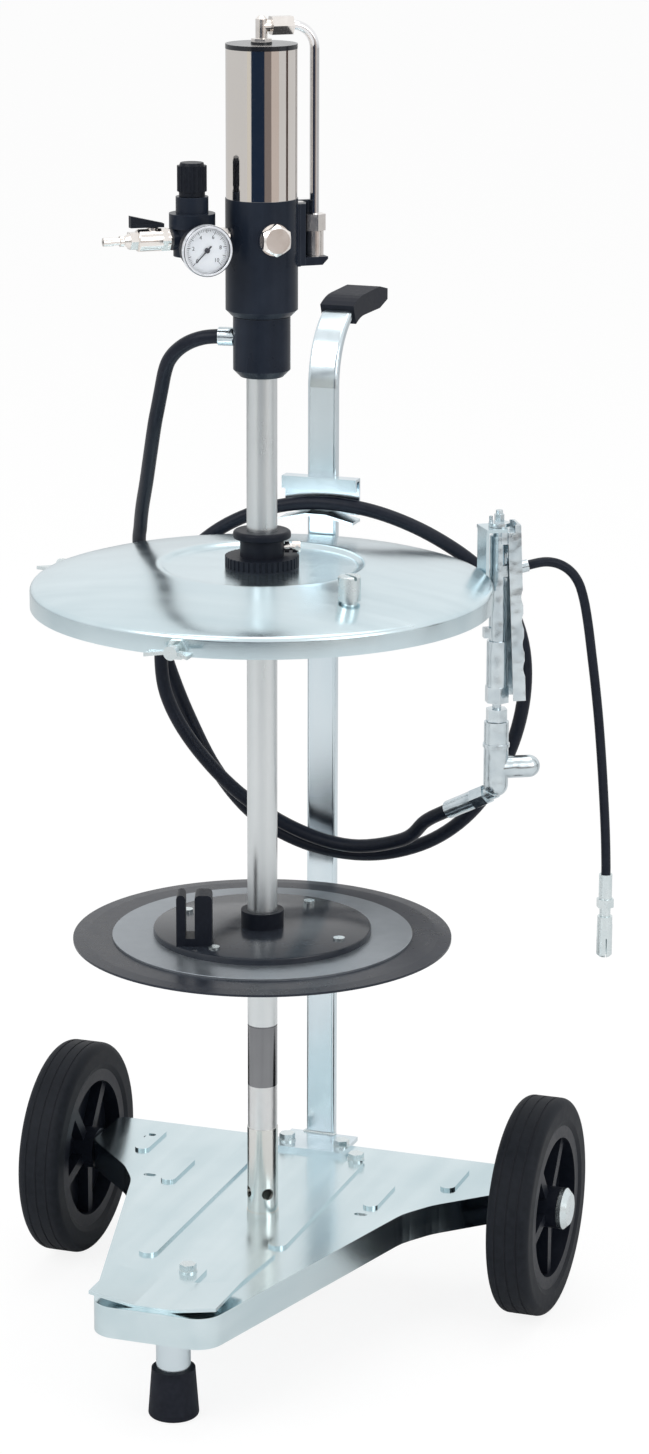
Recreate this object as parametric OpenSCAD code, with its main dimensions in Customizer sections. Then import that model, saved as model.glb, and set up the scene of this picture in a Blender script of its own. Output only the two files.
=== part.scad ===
// Pneumatic grease pump on a two wheeled drum trolley, with drum lid, follower plate,
// looped supply hose and a hand gun. Millimetres, +Z up, the wheels' axle lies along X.

/* [Trolley] */
// Radius of the wheels over the tyres
wheel_r = 100; // [92:1:110]
// Width of the tyres
tyre_w = 40; // [34:1:46]
// Radius of the wheel axle
axle_r = 10; // [8:0.5:11]
// Distance of the axle behind the centre
axle_y = 93; // [88:1:100]
// Thickness of the deck sheet
deck_sheet = 2.5; // [2:0.1:3]
// Depth of the deck's folded skirt
deck_skirt = 28; // [27:0.5:32]
// Half width of the deck between the wheels
deck_half = 203; // [190:1:215]
// Distance from the centre to the rear edge of the deck
deck_back = 141; // [136:1:150]
// Distance from the centre to the front edge of the deck
deck_front = 294; // [280:1:310]
// Height of the embossed ribs on the deck
rib_h = 2.5; // [1:0.5:4]
// Outer radius of the front leg
leg_r = 15; // [12:0.5:17]
// Height of the rubber foot on the front leg
foot_tip_h = 44; // [30:1:60]

/* [Post and handle] */
// Width of the post across the trolley
post_w = 28; // [22:1:32]
// Depth of the post
post_t = 10; // [10:0.5:14]
// Wall of the post
post_wall = 2; // [1.5:0.1:3]
// Length of the straight part of the post above the deck
post_l = 717.5; // [700:0.5:760]
// Centre radius of the bend at the top of the post
post_bend = 66; // [50:1:80]
// Straight length behind the bend
post_end = 45; // [40:1:60]
// Width of the hand grip
grip_w = 32; // [29:1:36]

/* [Pump] */
// Outer radius of the suction tube
tube_r = 13.25; // [13:0.05:13.5]
// Bore radius of the suction tube, which is also the pump bore
pump_bore = 10; // [9.5:0.05:10.5]
// Length of the suction tube
tube_l = 598; // [560:1:640]
// Length of the lower cylinder
lower_l = 57; // [50:1:64]
// Length of the grey sleeve below it
sleeve_l = 40; // [36:1:44]
// Length of the foot valve
foot_l = 84.5; // [80:0.5:90]
// Radius of the intake holes in the foot valve
intake_r = 5.35; // [4:0.05:6]
// Height of the outlet body
outlet_h = 52.5; // [48:0.5:60]
// Radius of the outlet body
outlet_r = 24.5; // [22:0.5:26]
// Height of the air motor body
motor_h = 99.5; // [94:0.5:110]
// Radius of the air motor body
motor_r = 30.8; // [30.4:0.1:32]
// Length of the air cylinder
cylinder_l = 125; // [118:1:140]
// Bore radius of the air cylinder
cylinder_bore = 28.5; // [27:0.1:29]
// Radius of the pump rod
rod_r = 4; // [3.5:0.1:4.5]
// Radius of the air piston rod
piston_rod_r = 5; // [4.8:0.1:6]
// Radius of the air transfer tube
transfer_r = 4; // [3:0.1:4.5]
// Radius of the gauge's bezel
gauge_r = 21.5; // [20:0.5:24]
// Radius of the regulator knob
knob_r = 12.5; // [11:0.5:14]

/* [Lid and follower] */
// Radius of the drum lid
lid_r = 200.5; // [190:0.5:202]
// Sheet of the drum lid
lid_sheet = 2; // [1.5:0.1:3]
// Height of the lid's skirt
lid_h = 19; // [17:1:24]
// Height of the lid's top above the deck
lid_rise = 583; // [575:1:590]
// Radius of the rubber wiper of the follower
wiper_r = 167; // [160:1:168]
// Radius of the steel ring of the follower
ring_r = 132.4; // [120:0.1:140]
// Radius of the black disc of the follower
disc_r = 96.2; // [90:0.1:105]
// Height of the follower's steel ring above the deck
follower_rise = 264.6; // [240:0.1:280]

/* [Gun] */
// Radius of the gun's handle tube
handle_r = 9.6; // [8:0.1:9.8]
// Length of the gun's valve body
gun_body_l = 95; // [90:1:100]
// Length of the gun's trigger below its pin
trigger_l = 148; // [140:1:156]
// Half the outer width of the trigger
trigger_half = 12.5; // [12.3:0.1:14]
// Diameter of the supply hose
hose_d = 12.5; // [11:0.5:12.5]
// Diameter of the whip hose on the gun
whip_d = 8.5; // [7:0.5:8.5]

/* [Hidden] */
$fn = 64;
corner_step = 12;

// Fits and clearances
slip = 0.05;
seat = 0.05;
easy = 0.3;
over = 1;
clear = 0.1;

// Finishes
zinc = "#c9ced6";
black = "#1d1d1f";
chrome = "#dfe2e6";
nickel = "#c8c3b8";
rubber = "#2b2b2c";
grey = "#8d9094";
cream = "#f2f2ee";

// Trolley values
axle_z = wheel_r;
deck_over_axle = 15.5;
deck_z = axle_z + deck_over_axle;
sheet_under = deck_z - deck_sheet;
deck_corner_r = 8;
deck_edge_r = 60;
nose_corner_r = 24;
side_front_y = 75;
side_chamfer = 53;
waist_in = 72;
waist_y = -8;
nose_half = 53;
rib_w = 17;
lobe_w = 14;
slot_l = 12;
slot_w = 6;
// Each rib: place across, front end and rear end, as shares of the deck's sizes
rib_shares = [[-0.25, -0.6, 0.72], [0.25, -0.42, 0.72]];
lobe_shares = [[-0.483, -0.02, 0.4], [0.483, -0.02, 0.4], [-0.74, 0.43, 0.83], [0.74, 0.43, 0.83]];
// Each slot: place across and place along
slot_shares = [[-0.764, 0.7], [-0.586, 0.05], [0.473, -0.07], [0.739, 0.81]];
short_rib_shares = [0.22, -0.65];
short_rib_l = 116;
short_rib_turn = 5;

saddle_t = 3;
saddle_flat = 17;
saddle_half = 58;
saddle_rise = 7;
saddle_back = 225;
saddle_front = 288;
saddle_tab_half = 14;
saddle_tab = 31;
saddle_bolt_y = -203;

leg_y = -239;
leg_wall = 2;
leg_start = 5;
leg_flange_t = 3;
leg_flange_half = 20;
leg_flange_front = 262;
leg_flange_back = 190;
foot_tip_r = 22.3;
foot_tip_top_r = 19;
foot_tip_round = 3;

hub_r = 19;
hub_w = 46;
hub_gap = 1.5;
bush_r = 13;
cap_gap = 0.5;
cap_in = 4;
cap_out = 4.5;
wheel_x = deck_half + hub_gap + hub_w / 2;
hub_end = wheel_x + hub_w / 2;
axle_end = hub_end + cap_gap + cap_in;
tyre_height = 25;
tyre_bead_r = wheel_r - tyre_height;
tyre_bead_w = 36;
tyre_bead_rise = 5;
tyre_round = 8;
tyre_bead_round = 3;
tread_groove_w = 2;
tread_groove_d = 0.6;
tread_groove_shares = [-0.25, 0, 0.25];
rim_band = 11;
rim_web = 5;
spoke_n = 5;
spoke_w = 10;
spoke_depth = 13;

bolt_r = 4;
bolt_af = 13;
bolt_head = 5.3;
nut_h = 6.5;
nut_tail = 2;
washer_r = 8;
washer_t = 1.6;
foot_bolt_x = 27;
foot_bolt_y = 126;
deck_bolt_x = 50;
deck_bolt_y = 101;

// Post values
post_x = -4;
post_gap = 12;
post_r = 3;
post_y = deck_back + post_gap + post_t / 2;
post_front = post_y - post_t / 2;
post_drop = 23.5;
bend_z = deck_z + post_l;
bend_y = post_y + post_bend;
plate_half = 33;
plate_front = 32;
plate_t = 4;
grip_start_angle = 66;
grip_over = 5;
grip_front_over = 4.5;
grip_tip = 22;

hanger_drop = 114;
hanger_z = bend_z - hanger_drop;
hanger_h = 34;
hanger_left = 38;
hanger_right = 33;
hanger_depth = 19;
hanger_flange = 10;
hanger_lip = 9;
hanger_end = 26;
hanger_droop = 6;
hanger_bolt_r = 2.5;
hanger_bolt_head_r = 4;
hanger_bolt_up = 25;
hanger_bolt_head = 2;

// Pump values
pump_x = 12.5;
pump_y = -49;
pump_turn = 40;
foot_step = 0.55;
foot_r = tube_r + foot_step;
foot_ring_h = 5.5;
foot_ring_over = 0.6;
foot_top = deck_z + foot_l;
sleeve_step = 0.1;
sleeve_r = tube_r - sleeve_step;
sleeve_top = foot_top + sleeve_l;
lower_top = sleeve_top + lower_l;
tube_top = lower_top + tube_l;
intake_rise = 23.5;
spigot_l = 12;
spigot_r = (tube_r + pump_bore) / 2;
seal_groove = 0.4;
seal_groove_h = 1.2;

socket_l = 16;
outlet_z0 = tube_top - socket_l;
outlet_top = outlet_z0 + outlet_h;
outlet_chamfer = 6;
outlet_groove = 1;
outlet_az = 190;
port_up = 17;
port_z = tube_top + port_up;
port_r = 3;
port_thread_r = 5;
port_thread_l = 7;
gland_r = 8;
gland_h = 8;
gland_cap = 3;
chamber_top = outlet_top - gland_h - gland_cap;

motor_top = outlet_top + motor_h;
motor_chamfer = 5;
motor_spigot = 4;
motor_seal_h = 6;
cylinder_step = 0.6;
cylinder_r = motor_r - cylinder_step;
cylinder_top = motor_top + cylinder_l;
cap_t = 4;
cap_spigot = 6;
cap_over = 0.2;
cap_boss_r = 9;
cap_boss_h = 1.5;
cap_top = cylinder_top + cap_t;
piston_t = 14;
piston_up = 9;
piston_ring_w = 3;
piston_ring_d = 0.6;
piston_z = motor_top + piston_up;
piston_rod_reach = 55;
piston_rod_end = tube_top - piston_rod_reach;
rod_rise = 44.5;
rod_end = deck_z + rod_rise;
rod_joint = 10;
pump_piston_up = 28;
pump_piston_h = 12;
plunger_h = 6;
check_up = 10;
check_seat_h = 6;
check_seat_r = 6;
check_plate_h = 3;
check_plate_r = 8;
check_z = sleeve_top + check_up + check_seat_h;

air_drop = 31;
air_z = motor_top - air_drop;
plug_up = -0.5;
plug_z = air_z + plug_up;
plug_af = 24;
plug_washer_r = 13.5;
plug_washer_t = 1.3;
plug_head = 8;
plug_face_r = 10.6;
plug_boss = 0.6;
plug_thread_r = 9;
plug_thread_l = 8;

block_sink = 0.8;
block_x0 = motor_r - block_sink;
block_half = 14;
block_down = 26;
block_up = 26;
block_chamfer = 3;
block_front_l = 4.5;
block_middle_l = 9;
block_middle = 2.5;
shelf_x = 56;
shelf_t = 7;
shelf_chamfer = 5;
wall_x = 54;
wall_y = 8.5;
spool_end_gap = 1;
spool_in = 4.2;
spool_x = block_x0 + spool_in;
spool_r = 3.2;
spool_bore_down = 24;
spool_bore_up = 20;
spool_l = 36;
spool_up = 2;
spool_plug_r = 3.5;
spool_plug_l = 5;
spool_waist = 1.2;
fitting_out = 17.4;
fitting_x = block_x0 + fitting_out;
fitting_r = 8;
fitting_h = 21;
fitting_rise = 6;
fitting_z = air_z - block_down + fitting_rise;
fitting_bore_l = 12;
nut_gap = 0.5;
side_nut_af = 17;
side_nut_h = 14;
arm_up = 14.5;
arm_z = cap_top + arm_up;
elbow_r = 5;
elbow_top = 8.3;
arm_nut_x0 = 8;
arm_nut_l = 19;
arm_nut_af = 15;
arm_tube_x = 18;
transfer_bend = 20;
air_bore = 2.5;

// Air line, distances from the pump axis along the air line
air_port_r = 6.5;
air_port_hex = 14;
regulator_a = 62;
regulator_r = 16;
regulator_down = 15;
regulator_up = 9;
regulator_port_r = 9.5;
regulator_left = 81;
regulator_right = 43.5;
flange_r = 19.5;
flange_t = 12;
bonnet_r = 13.8;
bonnet_h = 14;
stem_r = 4;
stem_l = 12;
knob_h = 28;
knob_lip = 1.5;
knob_base_r = knob_r - knob_lip;
knob_dome = 2.5;
knob_ribs = 20;
knob_rib_d = 0.8;
knob_foot = 4;
valve_a0 = 83.5;
valve_a1 = 111;
valve_r = 9.5;
ball_a = 97;
ball_r = 6;
ball_bore = 3;
ball_stem_r = 2.5;
ball_boss_r = 5;
ball_boss_h = 10.5;
lever_in = 9;
lever_out = 20;
lever_half = 5.5;
lever_tip_half = 3;
lever_gap = 0.4;
lever_t = 3;
lever_h = 10;
nipple_hex_af = 14;
nipple_hex_l = 7;
nipple_cone_l = 5;
nipple_r = 3.6;
nipple_neck_r = 3;
nipple_collar_r = 4.5;
nipple_collar_l = 3;
nipple_neck_l = 6;
nipple_tip_l = 8.5;
nipple_thread_l = 6;
nipple_thread_r = 5;

gauge_b0 = flange_r + easy;
gauge_b1 = 42;
gauge_wall = 1.6;
gauge_drop = 5.5;
gauge_back_step = 3;
bezel_l = 7;
gauge_floor = 3;
gauge_stem_r = 5;
dial_b = 37.5;
dial_t = 1;
needle_t = 0.6;
needle_up = 1;
needle_l = 14;
needle_tail = 5;
needle_w = 1.2;
needle_tip_w = 0.5;
needle_hub_r = 2.2;
needle_pin_r = 0.8;
needle_pin_l = 2.2;
needle_zero = 45;
glass_t = 1.5;

// Lid values
lid_z = deck_z + lid_rise;
lid_edge = 5;
shoulder_in = 35.5;
shoulder_r = lid_r - shoulder_in;
shoulder_h = 7;
shoulder_round = 300;
crown_r = 90;
crown_h = 17.5;
dish_r = 83;
dish_d = 3.5;
dish_round = 4;
adapter_z = lid_z + crown_h - dish_d;
adapter_flange_r = 32;
adapter_flange_h = 10;
adapter_knurl_n = 40;
adapter_knurl_r = 1.2;
adapter_neck_r = 19;
adapter_neck_h = 15.5;
adapter_top_r = 25;
adapter_top_h = 7;
adapter_top_round = 3;
adapter_spigot_r = 27;
adapter_spigot_l = 16.5;
clamp_az = 24;
clamp_up = 17;
clamp_r = 3;
clamp_out = 27;
clamp_head_r = 5;
clamp_head_l = 6;
clamp_bar_r = 2;
clamp_bar_half = 6;
clamp_collar = 4;
bung_in = 24.3;
bung_r = shoulder_r - bung_in;
bung_az = -38.6;
bung_plug_r = 9.5;
bung_plug_h = 21;
bung_boss_h = 4;
bung_thread_r = 7;
bung_thread_l = 7;
bung_slot_w = 2.5;
bung_slot_d = 3;
bung_z = lid_z + crown_h + (bung_r - crown_r) * (shoulder_h - crown_h) / (shoulder_r - crown_r);
bung_seat_z = bung_z + bung_boss_h / 2;
lid_screw_azs = [-90, 166, 75];
lid_screw_down = 12.5;
lid_screw_r = 3.5;
lid_screw_in = 12;
lid_screw_out = 12;
lid_nut_r = 8;
lid_nut_t = 5;
wing_half = 19;
wing_t = 3;
wing_l = 11;
wing_h = 6;
wing_hub_r = 6;

holder_az = 36.3;
holder_t = 3;
holder_half = 12;
holder_reach = 15.9;
holder_over = 3.5;
holder_arm_half = 14;
holder_drop = 59;
holder_up = 36.5;
notch_r = 6.2;
rivet_r = 2;
rivet_head_r = 3.5;
rivet_head = 1.5;
rivet_v = 7;
rivet_down = 10;
shelf_z = lid_z + holder_up;

// Follower values
follower_z = deck_z + follower_rise;
wiper_t = 5;
wiper_hub_r = 18.8;
wiper_lip = 6;
wiper_lip_up = 2.2;
wiper_lip_drop = 0.8;
ring_t = 2;
disc_t = 6;
hub_top = 15;
hub_down = 3.6;
hub_flange = 3.2;
ear_round = 3.5;
slider = 0.06;
follower_screw_r = 79;
follower_screw_az = 78;
follower_screw_n = 4;
follower_screw_shank = 2.5;
follower_screw_head_r = 5;
follower_screw_head = 2;
clip_az = -119.6;
clip_r = 77.4;
clip_turn = 19;
clip_depth = 22;
clip_h = 46;
clip_base = 7;
clip_left = 8;
clip_right = 15;
clip_w = 31;

// Gun values, heights from the top of the holder's shelf
gun_turn = 30;
gun_x = pump_x + (lid_r + holder_reach) * cos(holder_az);
gun_y = pump_y + (lid_r + holder_reach) * sin(holder_az);
gun_flange_r = 9.5;
gun_flange_t = 3.2;
gun_neck_r = 5.5;
gun_neck_l = 8;
gun_nut_af = 8;
gun_nut_h = 7.5;
gun_cap_r = 3.1;
gun_cap_h = 3.5;
gun_pin_r = 1.6;
gun_pin_out = 7.5;
gun_pin_h = 6;
gun_r = 8;
gun_bottom = gun_neck_l + gun_body_l;
lug_u = 14.5;
lug_gap = 2.3;
lug_half = trigger_half - lug_gap;
lug_top = 3.5;
lug_bottom = 14.5;
spur_u = 13;
spur_half = 4;
spur_up = 3;
spur_h = 9;
outlet_down = 39;
gun_outlet_u = 18;
gun_outlet_af = 16.6;
ferrule_r = 5.5;
ferrule_rise = 12;
ferrule_l = 8.5;
ferrule_bore_l = 6.5;
handle_l = 41.5;
grip_nut_af = 19;
grip_nut_l = 14.5;
gun_waist_r = 4;
gun_waist_l = 6;
swivel_nut_af = 17;
swivel_nut_l = 11.5;
swivel_spigot_r = 5;
swivel_spigot_l = 18.5;
handle_bottom = gun_bottom + handle_l;
grip_nut_bottom = handle_bottom + grip_nut_l;
swivel_nut_bottom = grip_nut_bottom + gun_waist_l + swivel_nut_l;
gun_bore = 2.5;
swivel_gap = 0.3;
swivel_r = 11;
swivel_l = 58;
swivel_ring_up = 20;
swivel_ring_h = 3;
swivel_ring_over = 1;
swivel_stub_down = 43;
swivel_stub_r = 10;
swivel_stub_u = 30;
swivel_boss_down = 64;
swivel_boss_r = 7;
swivel_boss_l = 10;
hose_az = 162.5;
hose_dip = 28;
hose_nut_af = 17;
hose_nut_l = 15;
hose_ferrule_r = 8.3;
hose_ferrule_l = 32;
hose_socket = 12.4;
hose_fit = 0.12;
outlet_fitting_l = 12.7;
outlet_fitting_r = 8;
outlet_socket = 9.6;

pivot_u = 11;
pivot_down = 8;
pivot_r = 2;
pin_head_r = 3.2;
pin_head = 0.8;
trigger_t = 2;
trigger_up = 11;
trigger_top_u = 16.5;
trigger_bottom_u = 23;
trigger_depth = 11;
trigger_shoulder_u = 12;
trigger_shoulder_down = 4;
trigger_open_top = 26;
trigger_open_bottom = 51;
groove_first = 62;
groove_pitch = 21.5;
groove_n = 4;
groove_half = 7;
groove_d = 1.6;
groove_steps = 6;
stem_down = 20;
stem_valve_r = 2;
stem_inner_u = 3;

coupler_u = 103;
coupler_top = 324;
coupler_sleeve_r = 6;
coupler_sleeve_l = 23;
coupler_socket = 6.4;
coupler_hex_af = 14;
coupler_hex_l = 8;
coupler_neck_r = 5;
coupler_neck_l = 8.5;
coupler_knurl_r = 6.8;
coupler_knurl_l = 8;
coupler_jaw_r = 7;
coupler_jaw_l = 30;
coupler_bore = 4.8;
coupler_bore_l = 16;
coupler_slot_w = 1;
coupler_slot_l = 18;
coupler_round = 2;

// The supply hose's route, from the pump's outlet to the gun's swivel
hose_route = [
    [-15, -54, 912], [-22.9, -55.4, 912], [-36.9, -56.9, 910.4], [-50.3, -56.6, 905.6],
    [-62.1, -54.4, 897.9], [-71.5, -50.4, 888], [-77.8, -45, 876.5], [-84.6, -36.4, 859],
    [-91.3, -27.7, 841.5], [-98, -19, 824], [-111, 3, 793], [-125, 28, 762], [-139, 53, 734],
    [-149.5, 74, 711], [-157, 90, 690],
    [-161, 113, 646], [-156, 129, 604], [-145, 137, 560], [-129, 141, 518], [-105, 143, 472],
    [-72, 144, 434], [-32, 144, 412], [14, 144, 402], [62, 144, 405], [110, 143, 424],
    [150, 140, 459], [179, 138, 508], [194, 137, 560], [194, 137, 610], [178, 138, 652],
    [148, 140, 683], [108, 142, 706], [66, 144, 721], [26, 144, 728.4], [-16, 144, 728.4],
    [-58, 141, 719], [-98, 135, 699], [-128, 127, 670], [-144, 118, 633], [-146, 113, 592],
    [-141, 113, 546], [-117, 118, 500], [-74, 124, 455], [-20, 127, 425], [36, 124, 415],
    [90, 112, 430], [114, 102, 452], [132, 96.4, 463.5], [149, 91, 473]
];
hose_rings = 61;
// The whip hose's route: outwards and up from the gun's axis and its shelf
whip_route = [
    [20, -37.6], [34.6, -34.5], [43.4, -33.8], [52.2, -35.4], [60.2, -39.3], [66.9, -45.1],
    [72, -52.6], [75.4, -61], [79, -75], [82.5, -95], [86, -120], [90, -150], [94, -185],
    [98, -230], [101.5, -280], [103, -315], [103, -330]
];
whip_rings = 19;
hose_sides = 12;
whip_sides = 10;

// Outline helpers
function unit(v) = v / norm(v);
function arc_corner(a, b, c, r) = r <= 0 ? [b] :
    let (u = unit(a - b), w = unit(c - b), half = acos(u * w) / 2,
        centre = b + unit(u + w) * r / sin(half),
        first = b + u * r / tan(half) - centre,
        last = b + w * r / tan(half) - centre,
        a0 = atan2(first.y, first.x),
        raw = atan2(last.y, last.x) - a0,
        turn = raw > 180 ? raw - 360 : raw < -180 ? raw + 360 : raw,
        steps = max(2, ceil(abs(turn) / corner_step)))
    [for (i = [0 : steps]) centre + r * [cos(a0 + turn * i / steps), sin(a0 + turn * i / steps)]];
function rounded(points, radii) = let (n = len(points))
    [for (i = [0 : n - 1]) each arc_corner(points[(i + n - 1) % n], points[i], points[(i + 1) % n],
        is_list(radii) ? radii[i] : radii)];
function crossing(p, u, q, w) = p + u * cross(q - p, w) / cross(u, w);
// Moves each edge of an anticlockwise outline inwards by d
function inset(points, d) = let (n = len(points))
    [for (i = [0 : n - 1])
        let (a = points[(i + n - 1) % n], b = points[i], c = points[(i + 1) % n],
            u = unit(b - a), w = unit(c - b))
        crossing(a + d * [-u.y, u.x], u, b + d * [-w.y, w.x], w)];
function mirrored(right) = concat(right, [for (i = [len(right) - 1 : -1 : 0]) [-right[i].x, right[i].y]]);
function mirrored_list(right) = concat(right, [for (i = [len(right) - 1 : -1 : 0]) right[i]]);

// Sweeping helpers for the hoses
function catmull(a, b, c, d, t) = 0.5 * (2 * b + (c - a) * t + (2 * a - 5 * b + 4 * c - d) * t * t
    + (3 * b - a - 3 * c + d) * t * t * t);
function on_route(route, s) = let (n = len(route), i = min(floor(s), n - 2),
        before = i == 0 ? 2 * route[0] - route[1] : route[i - 1],
        after = i == n - 2 ? 2 * route[n - 1] - route[n - 2] : route[i + 2])
    catmull(before, route[i], route[i + 1], after, s - i);
function route_ring(centre, along, r, sides) =
    let (side = unit(cross(along, [0, 1, 0])), up = cross(side, along))
    [for (k = [0 : sides - 1]) centre + r * (cos(360 * k / sides) * side + sin(360 * k / sides) * up)];
module hose(route, rings, d, sides) {
    last = rings - 1;
    stops = [for (i = [0 : last]) on_route(route, i * (len(route) - 1) / last)];
    ways = [for (i = [0 : last]) unit(stops[min(i + 1, last)] - stops[max(i - 1, 0)])];
    points = [for (i = [0 : last]) each route_ring(stops[i], ways[i], d / 2, sides)];
    walls = [for (i = [0 : last - 1], k = [0 : sides - 1])
        let (a = i * sides + k, b = i * sides + (k + 1) % sides)
        each [[a, b, a + sides], [b, b + sides, a + sides]]];
    start_cap = [for (k = [1 : sides - 2]) [0, k + 1, k]];
    end_cap = [for (k = [1 : sides - 2]) [last * sides, last * sides + k, last * sides + k + 1]];
    polyhedron(points = points, faces = concat(walls, start_cap, end_cap), convexity = 10);
}

// Solid helpers
module ring(outer, inner, z0, z1) {
    translate([0, 0, z0]) difference() {
        cylinder(r = outer, h = z1 - z0);
        translate([0, 0, -over]) cylinder(r = inner, h = z1 - z0 + 2 * over);
    }
}
module rod(r, z0, z1) translate([0, 0, z0]) cylinder(r = r, h = z1 - z0);
module cone(r0, r1, z0, z1) translate([0, 0, z0]) cylinder(r1 = r0, r2 = r1, h = z1 - z0);
module hex(af, z0, z1) translate([0, 0, z0]) rotate([0, 0, 30])
    cylinder(r = af / sqrt(3), h = z1 - z0, $fn = 6);
module block(x0, x1, y0, y1, z0, z1) translate([x0, y0, z0]) cube([x1 - x0, y1 - y0, z1 - z0]);
module along_x() rotate([90, 0, 90]) children();
module at_pump() translate([pump_x, pump_y, 0]) rotate([0, 0, pump_turn]) children();
module at_axis() translate([pump_x, pump_y, 0]) children();
module outward(az, z) rotate([0, 0, az]) translate([0, 0, z]) rotate([0, 90, 0]) children();
module at_gun() translate([gun_x, gun_y, shelf_z]) rotate([0, 0, gun_turn]) children();
// Turns a child's Z axis to the air line, starting on the pump axis
module air_line() at_pump() translate([0, 0, air_z]) rotate([0, -90, 0]) children();
module at_regulator() at_pump() translate([-regulator_a, 0, 0]) children();
module gauge_way() at_regulator() translate([0, 0, air_z - gauge_drop]) rotate([90, 0, 0]) children();
module hose_way() translate([gun_x, gun_y, shelf_z - swivel_nut_bottom - swivel_boss_down])
    rotate([0, 0, hose_az]) rotate([0, 90 + hose_dip, 0]) children();

// Deck outline, anticlockwise, from the front right corner
function deck_right() = [
    [nose_half, -deck_front], [deck_half - waist_in, waist_y],
    [deck_half - side_chamfer, side_front_y - side_chamfer], [deck_half, side_front_y],
    [deck_half, deck_back]
];
function deck_radii(d) =
    [for (r = [nose_corner_r, deck_edge_r, deck_edge_r, deck_corner_r, deck_corner_r]) r - d];
module deck_shape(d) polygon(rounded(inset(mirrored(deck_right()), d), mirrored_list(deck_radii(d))));

module rib(x_share, y0_share, y1_share, w) {
    y0 = y0_share * (y0_share < 0 ? deck_front : deck_back);
    y1 = y1_share * deck_back;
    translate([x_share * deck_half, 0]) {
        translate([-w / 2, y0 + w / 2]) square([w, y1 - y0 - w]);
        translate([0, y0 + w / 2]) circle(r = w / 2);
        translate([0, y1 - w / 2]) circle(r = w / 2);
    }
}
module bar(l, w) {
    translate([-l / 2 + w / 2, -w / 2]) square([l - w, w]);
    translate([-l / 2 + w / 2, 0]) circle(r = w / 2);
    translate([l / 2 - w / 2, 0]) circle(r = w / 2);
}
module deck_bolt_places() {
    for (x = [-foot_bolt_x, foot_bolt_x]) translate([x, foot_bolt_y, 0]) children();
    translate([deck_bolt_x, deck_bolt_y, 0]) children();
    translate([0, saddle_bolt_y, 0]) children();
}

module deck() color(zinc) difference() {
    union() {
        difference() {
            translate([0, 0, deck_z - deck_skirt]) linear_extrude(deck_skirt) deck_shape(0);
            translate([0, 0, deck_z - deck_skirt - over])
                linear_extrude(deck_skirt - deck_sheet + over) deck_shape(deck_sheet);
        }
        translate([0, 0, deck_z - deck_sheet / 2]) linear_extrude(rib_h + deck_sheet / 2) {
            for (s = rib_shares) rib(s[0], s[1], s[2], rib_w);
            for (s = lobe_shares) rib(s[0], s[1], s[2], lobe_w);
            translate([short_rib_shares[0] * deck_half, short_rib_shares[1] * deck_front])
                rotate([0, 0, 90 - short_rib_turn]) bar(short_rib_l, rib_w);
        }
    }
    translate([0, 0, sheet_under - over]) linear_extrude(deck_sheet + rib_h + 2 * over)
        for (s = slot_shares)
            translate([s[0] * deck_half, s[1] * (s[1] < 0 ? deck_front : deck_back)]) bar(slot_l, slot_w);
    translate([0, axle_y, axle_z]) rotate([0, 90, 0])
        rod(axle_r + seat, -deck_half - over, deck_half + over);
    deck_bolt_places() rod(bolt_r + clear, sheet_under - over, deck_z + rib_h + over);
}

module nose_saddle() color(zinc) difference() {
    translate([0, 0, deck_z]) union() {
        translate([0, -saddle_back, 0]) rotate([90, 0, 0]) linear_extrude(saddle_front - saddle_back)
            polygon([[-saddle_flat, 0], [saddle_flat, 0], [saddle_half, saddle_rise],
                [saddle_half, saddle_rise + saddle_t], [saddle_flat, saddle_t], [-saddle_flat, saddle_t],
                [-saddle_half, saddle_rise + saddle_t], [-saddle_half, saddle_rise]]);
        block(-saddle_tab_half, saddle_tab_half, -saddle_back, -saddle_back + saddle_tab, 0, saddle_t);
    }
    translate([0, saddle_bolt_y, 0]) rod(bolt_r + clear, deck_z - over, deck_z + saddle_t + over);
}

// A bolt whose head sits on z_top and whose nut sits under z_under
module through_bolt(z_top, z_under) {
    ring(washer_r, bolt_r - over / 2, z_top, z_top + washer_t);
    rod(bolt_r, z_under - nut_h - nut_tail, z_top + washer_t);
    hex(bolt_af, z_top + washer_t, z_top + washer_t + bolt_head);
    hex(bolt_af, z_under - nut_h, z_under);
}
module hub_cap() {
    difference() {
        union() {
            rod(hub_r, hub_end + cap_gap, axle_end);
            cone(hub_r, hub_r - cap_out, axle_end, axle_end + cap_out);
        }
        rod(axle_r + seat, hub_end + cap_gap - over, axle_end);
    }
}
module trolley_fasteners() color(chrome) {
    for (x = [-foot_bolt_x, foot_bolt_x])
        translate([x, foot_bolt_y, 0]) through_bolt(deck_z + plate_t, sheet_under);
    translate([deck_bolt_x, deck_bolt_y, deck_z + rib_h]) {
        rod(bolt_r, -rib_h - deck_sheet, over);
        ring(washer_r, bolt_r - over / 2, 0, washer_t);
        hex(bolt_af, washer_t, washer_t + bolt_head);
        rod(bolt_r, 0, washer_t + over);
    }
    translate([0, saddle_bolt_y, 0]) through_bolt(deck_z + saddle_t, sheet_under - leg_flange_t);
    for (turn = [90, -90]) translate([0, axle_y, axle_z]) rotate([0, turn, 0]) hub_cap();
    translate([0, post_y - post_t / 2 + post_wall, hanger_z + hanger_bolt_up]) rotate([90, 0, 0]) {
        rod(hanger_bolt_r, 0, post_wall + deck_sheet + hanger_bolt_head);
        rod(hanger_bolt_head_r, post_wall + deck_sheet, post_wall + deck_sheet + hanger_bolt_head);
    }
}

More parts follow.
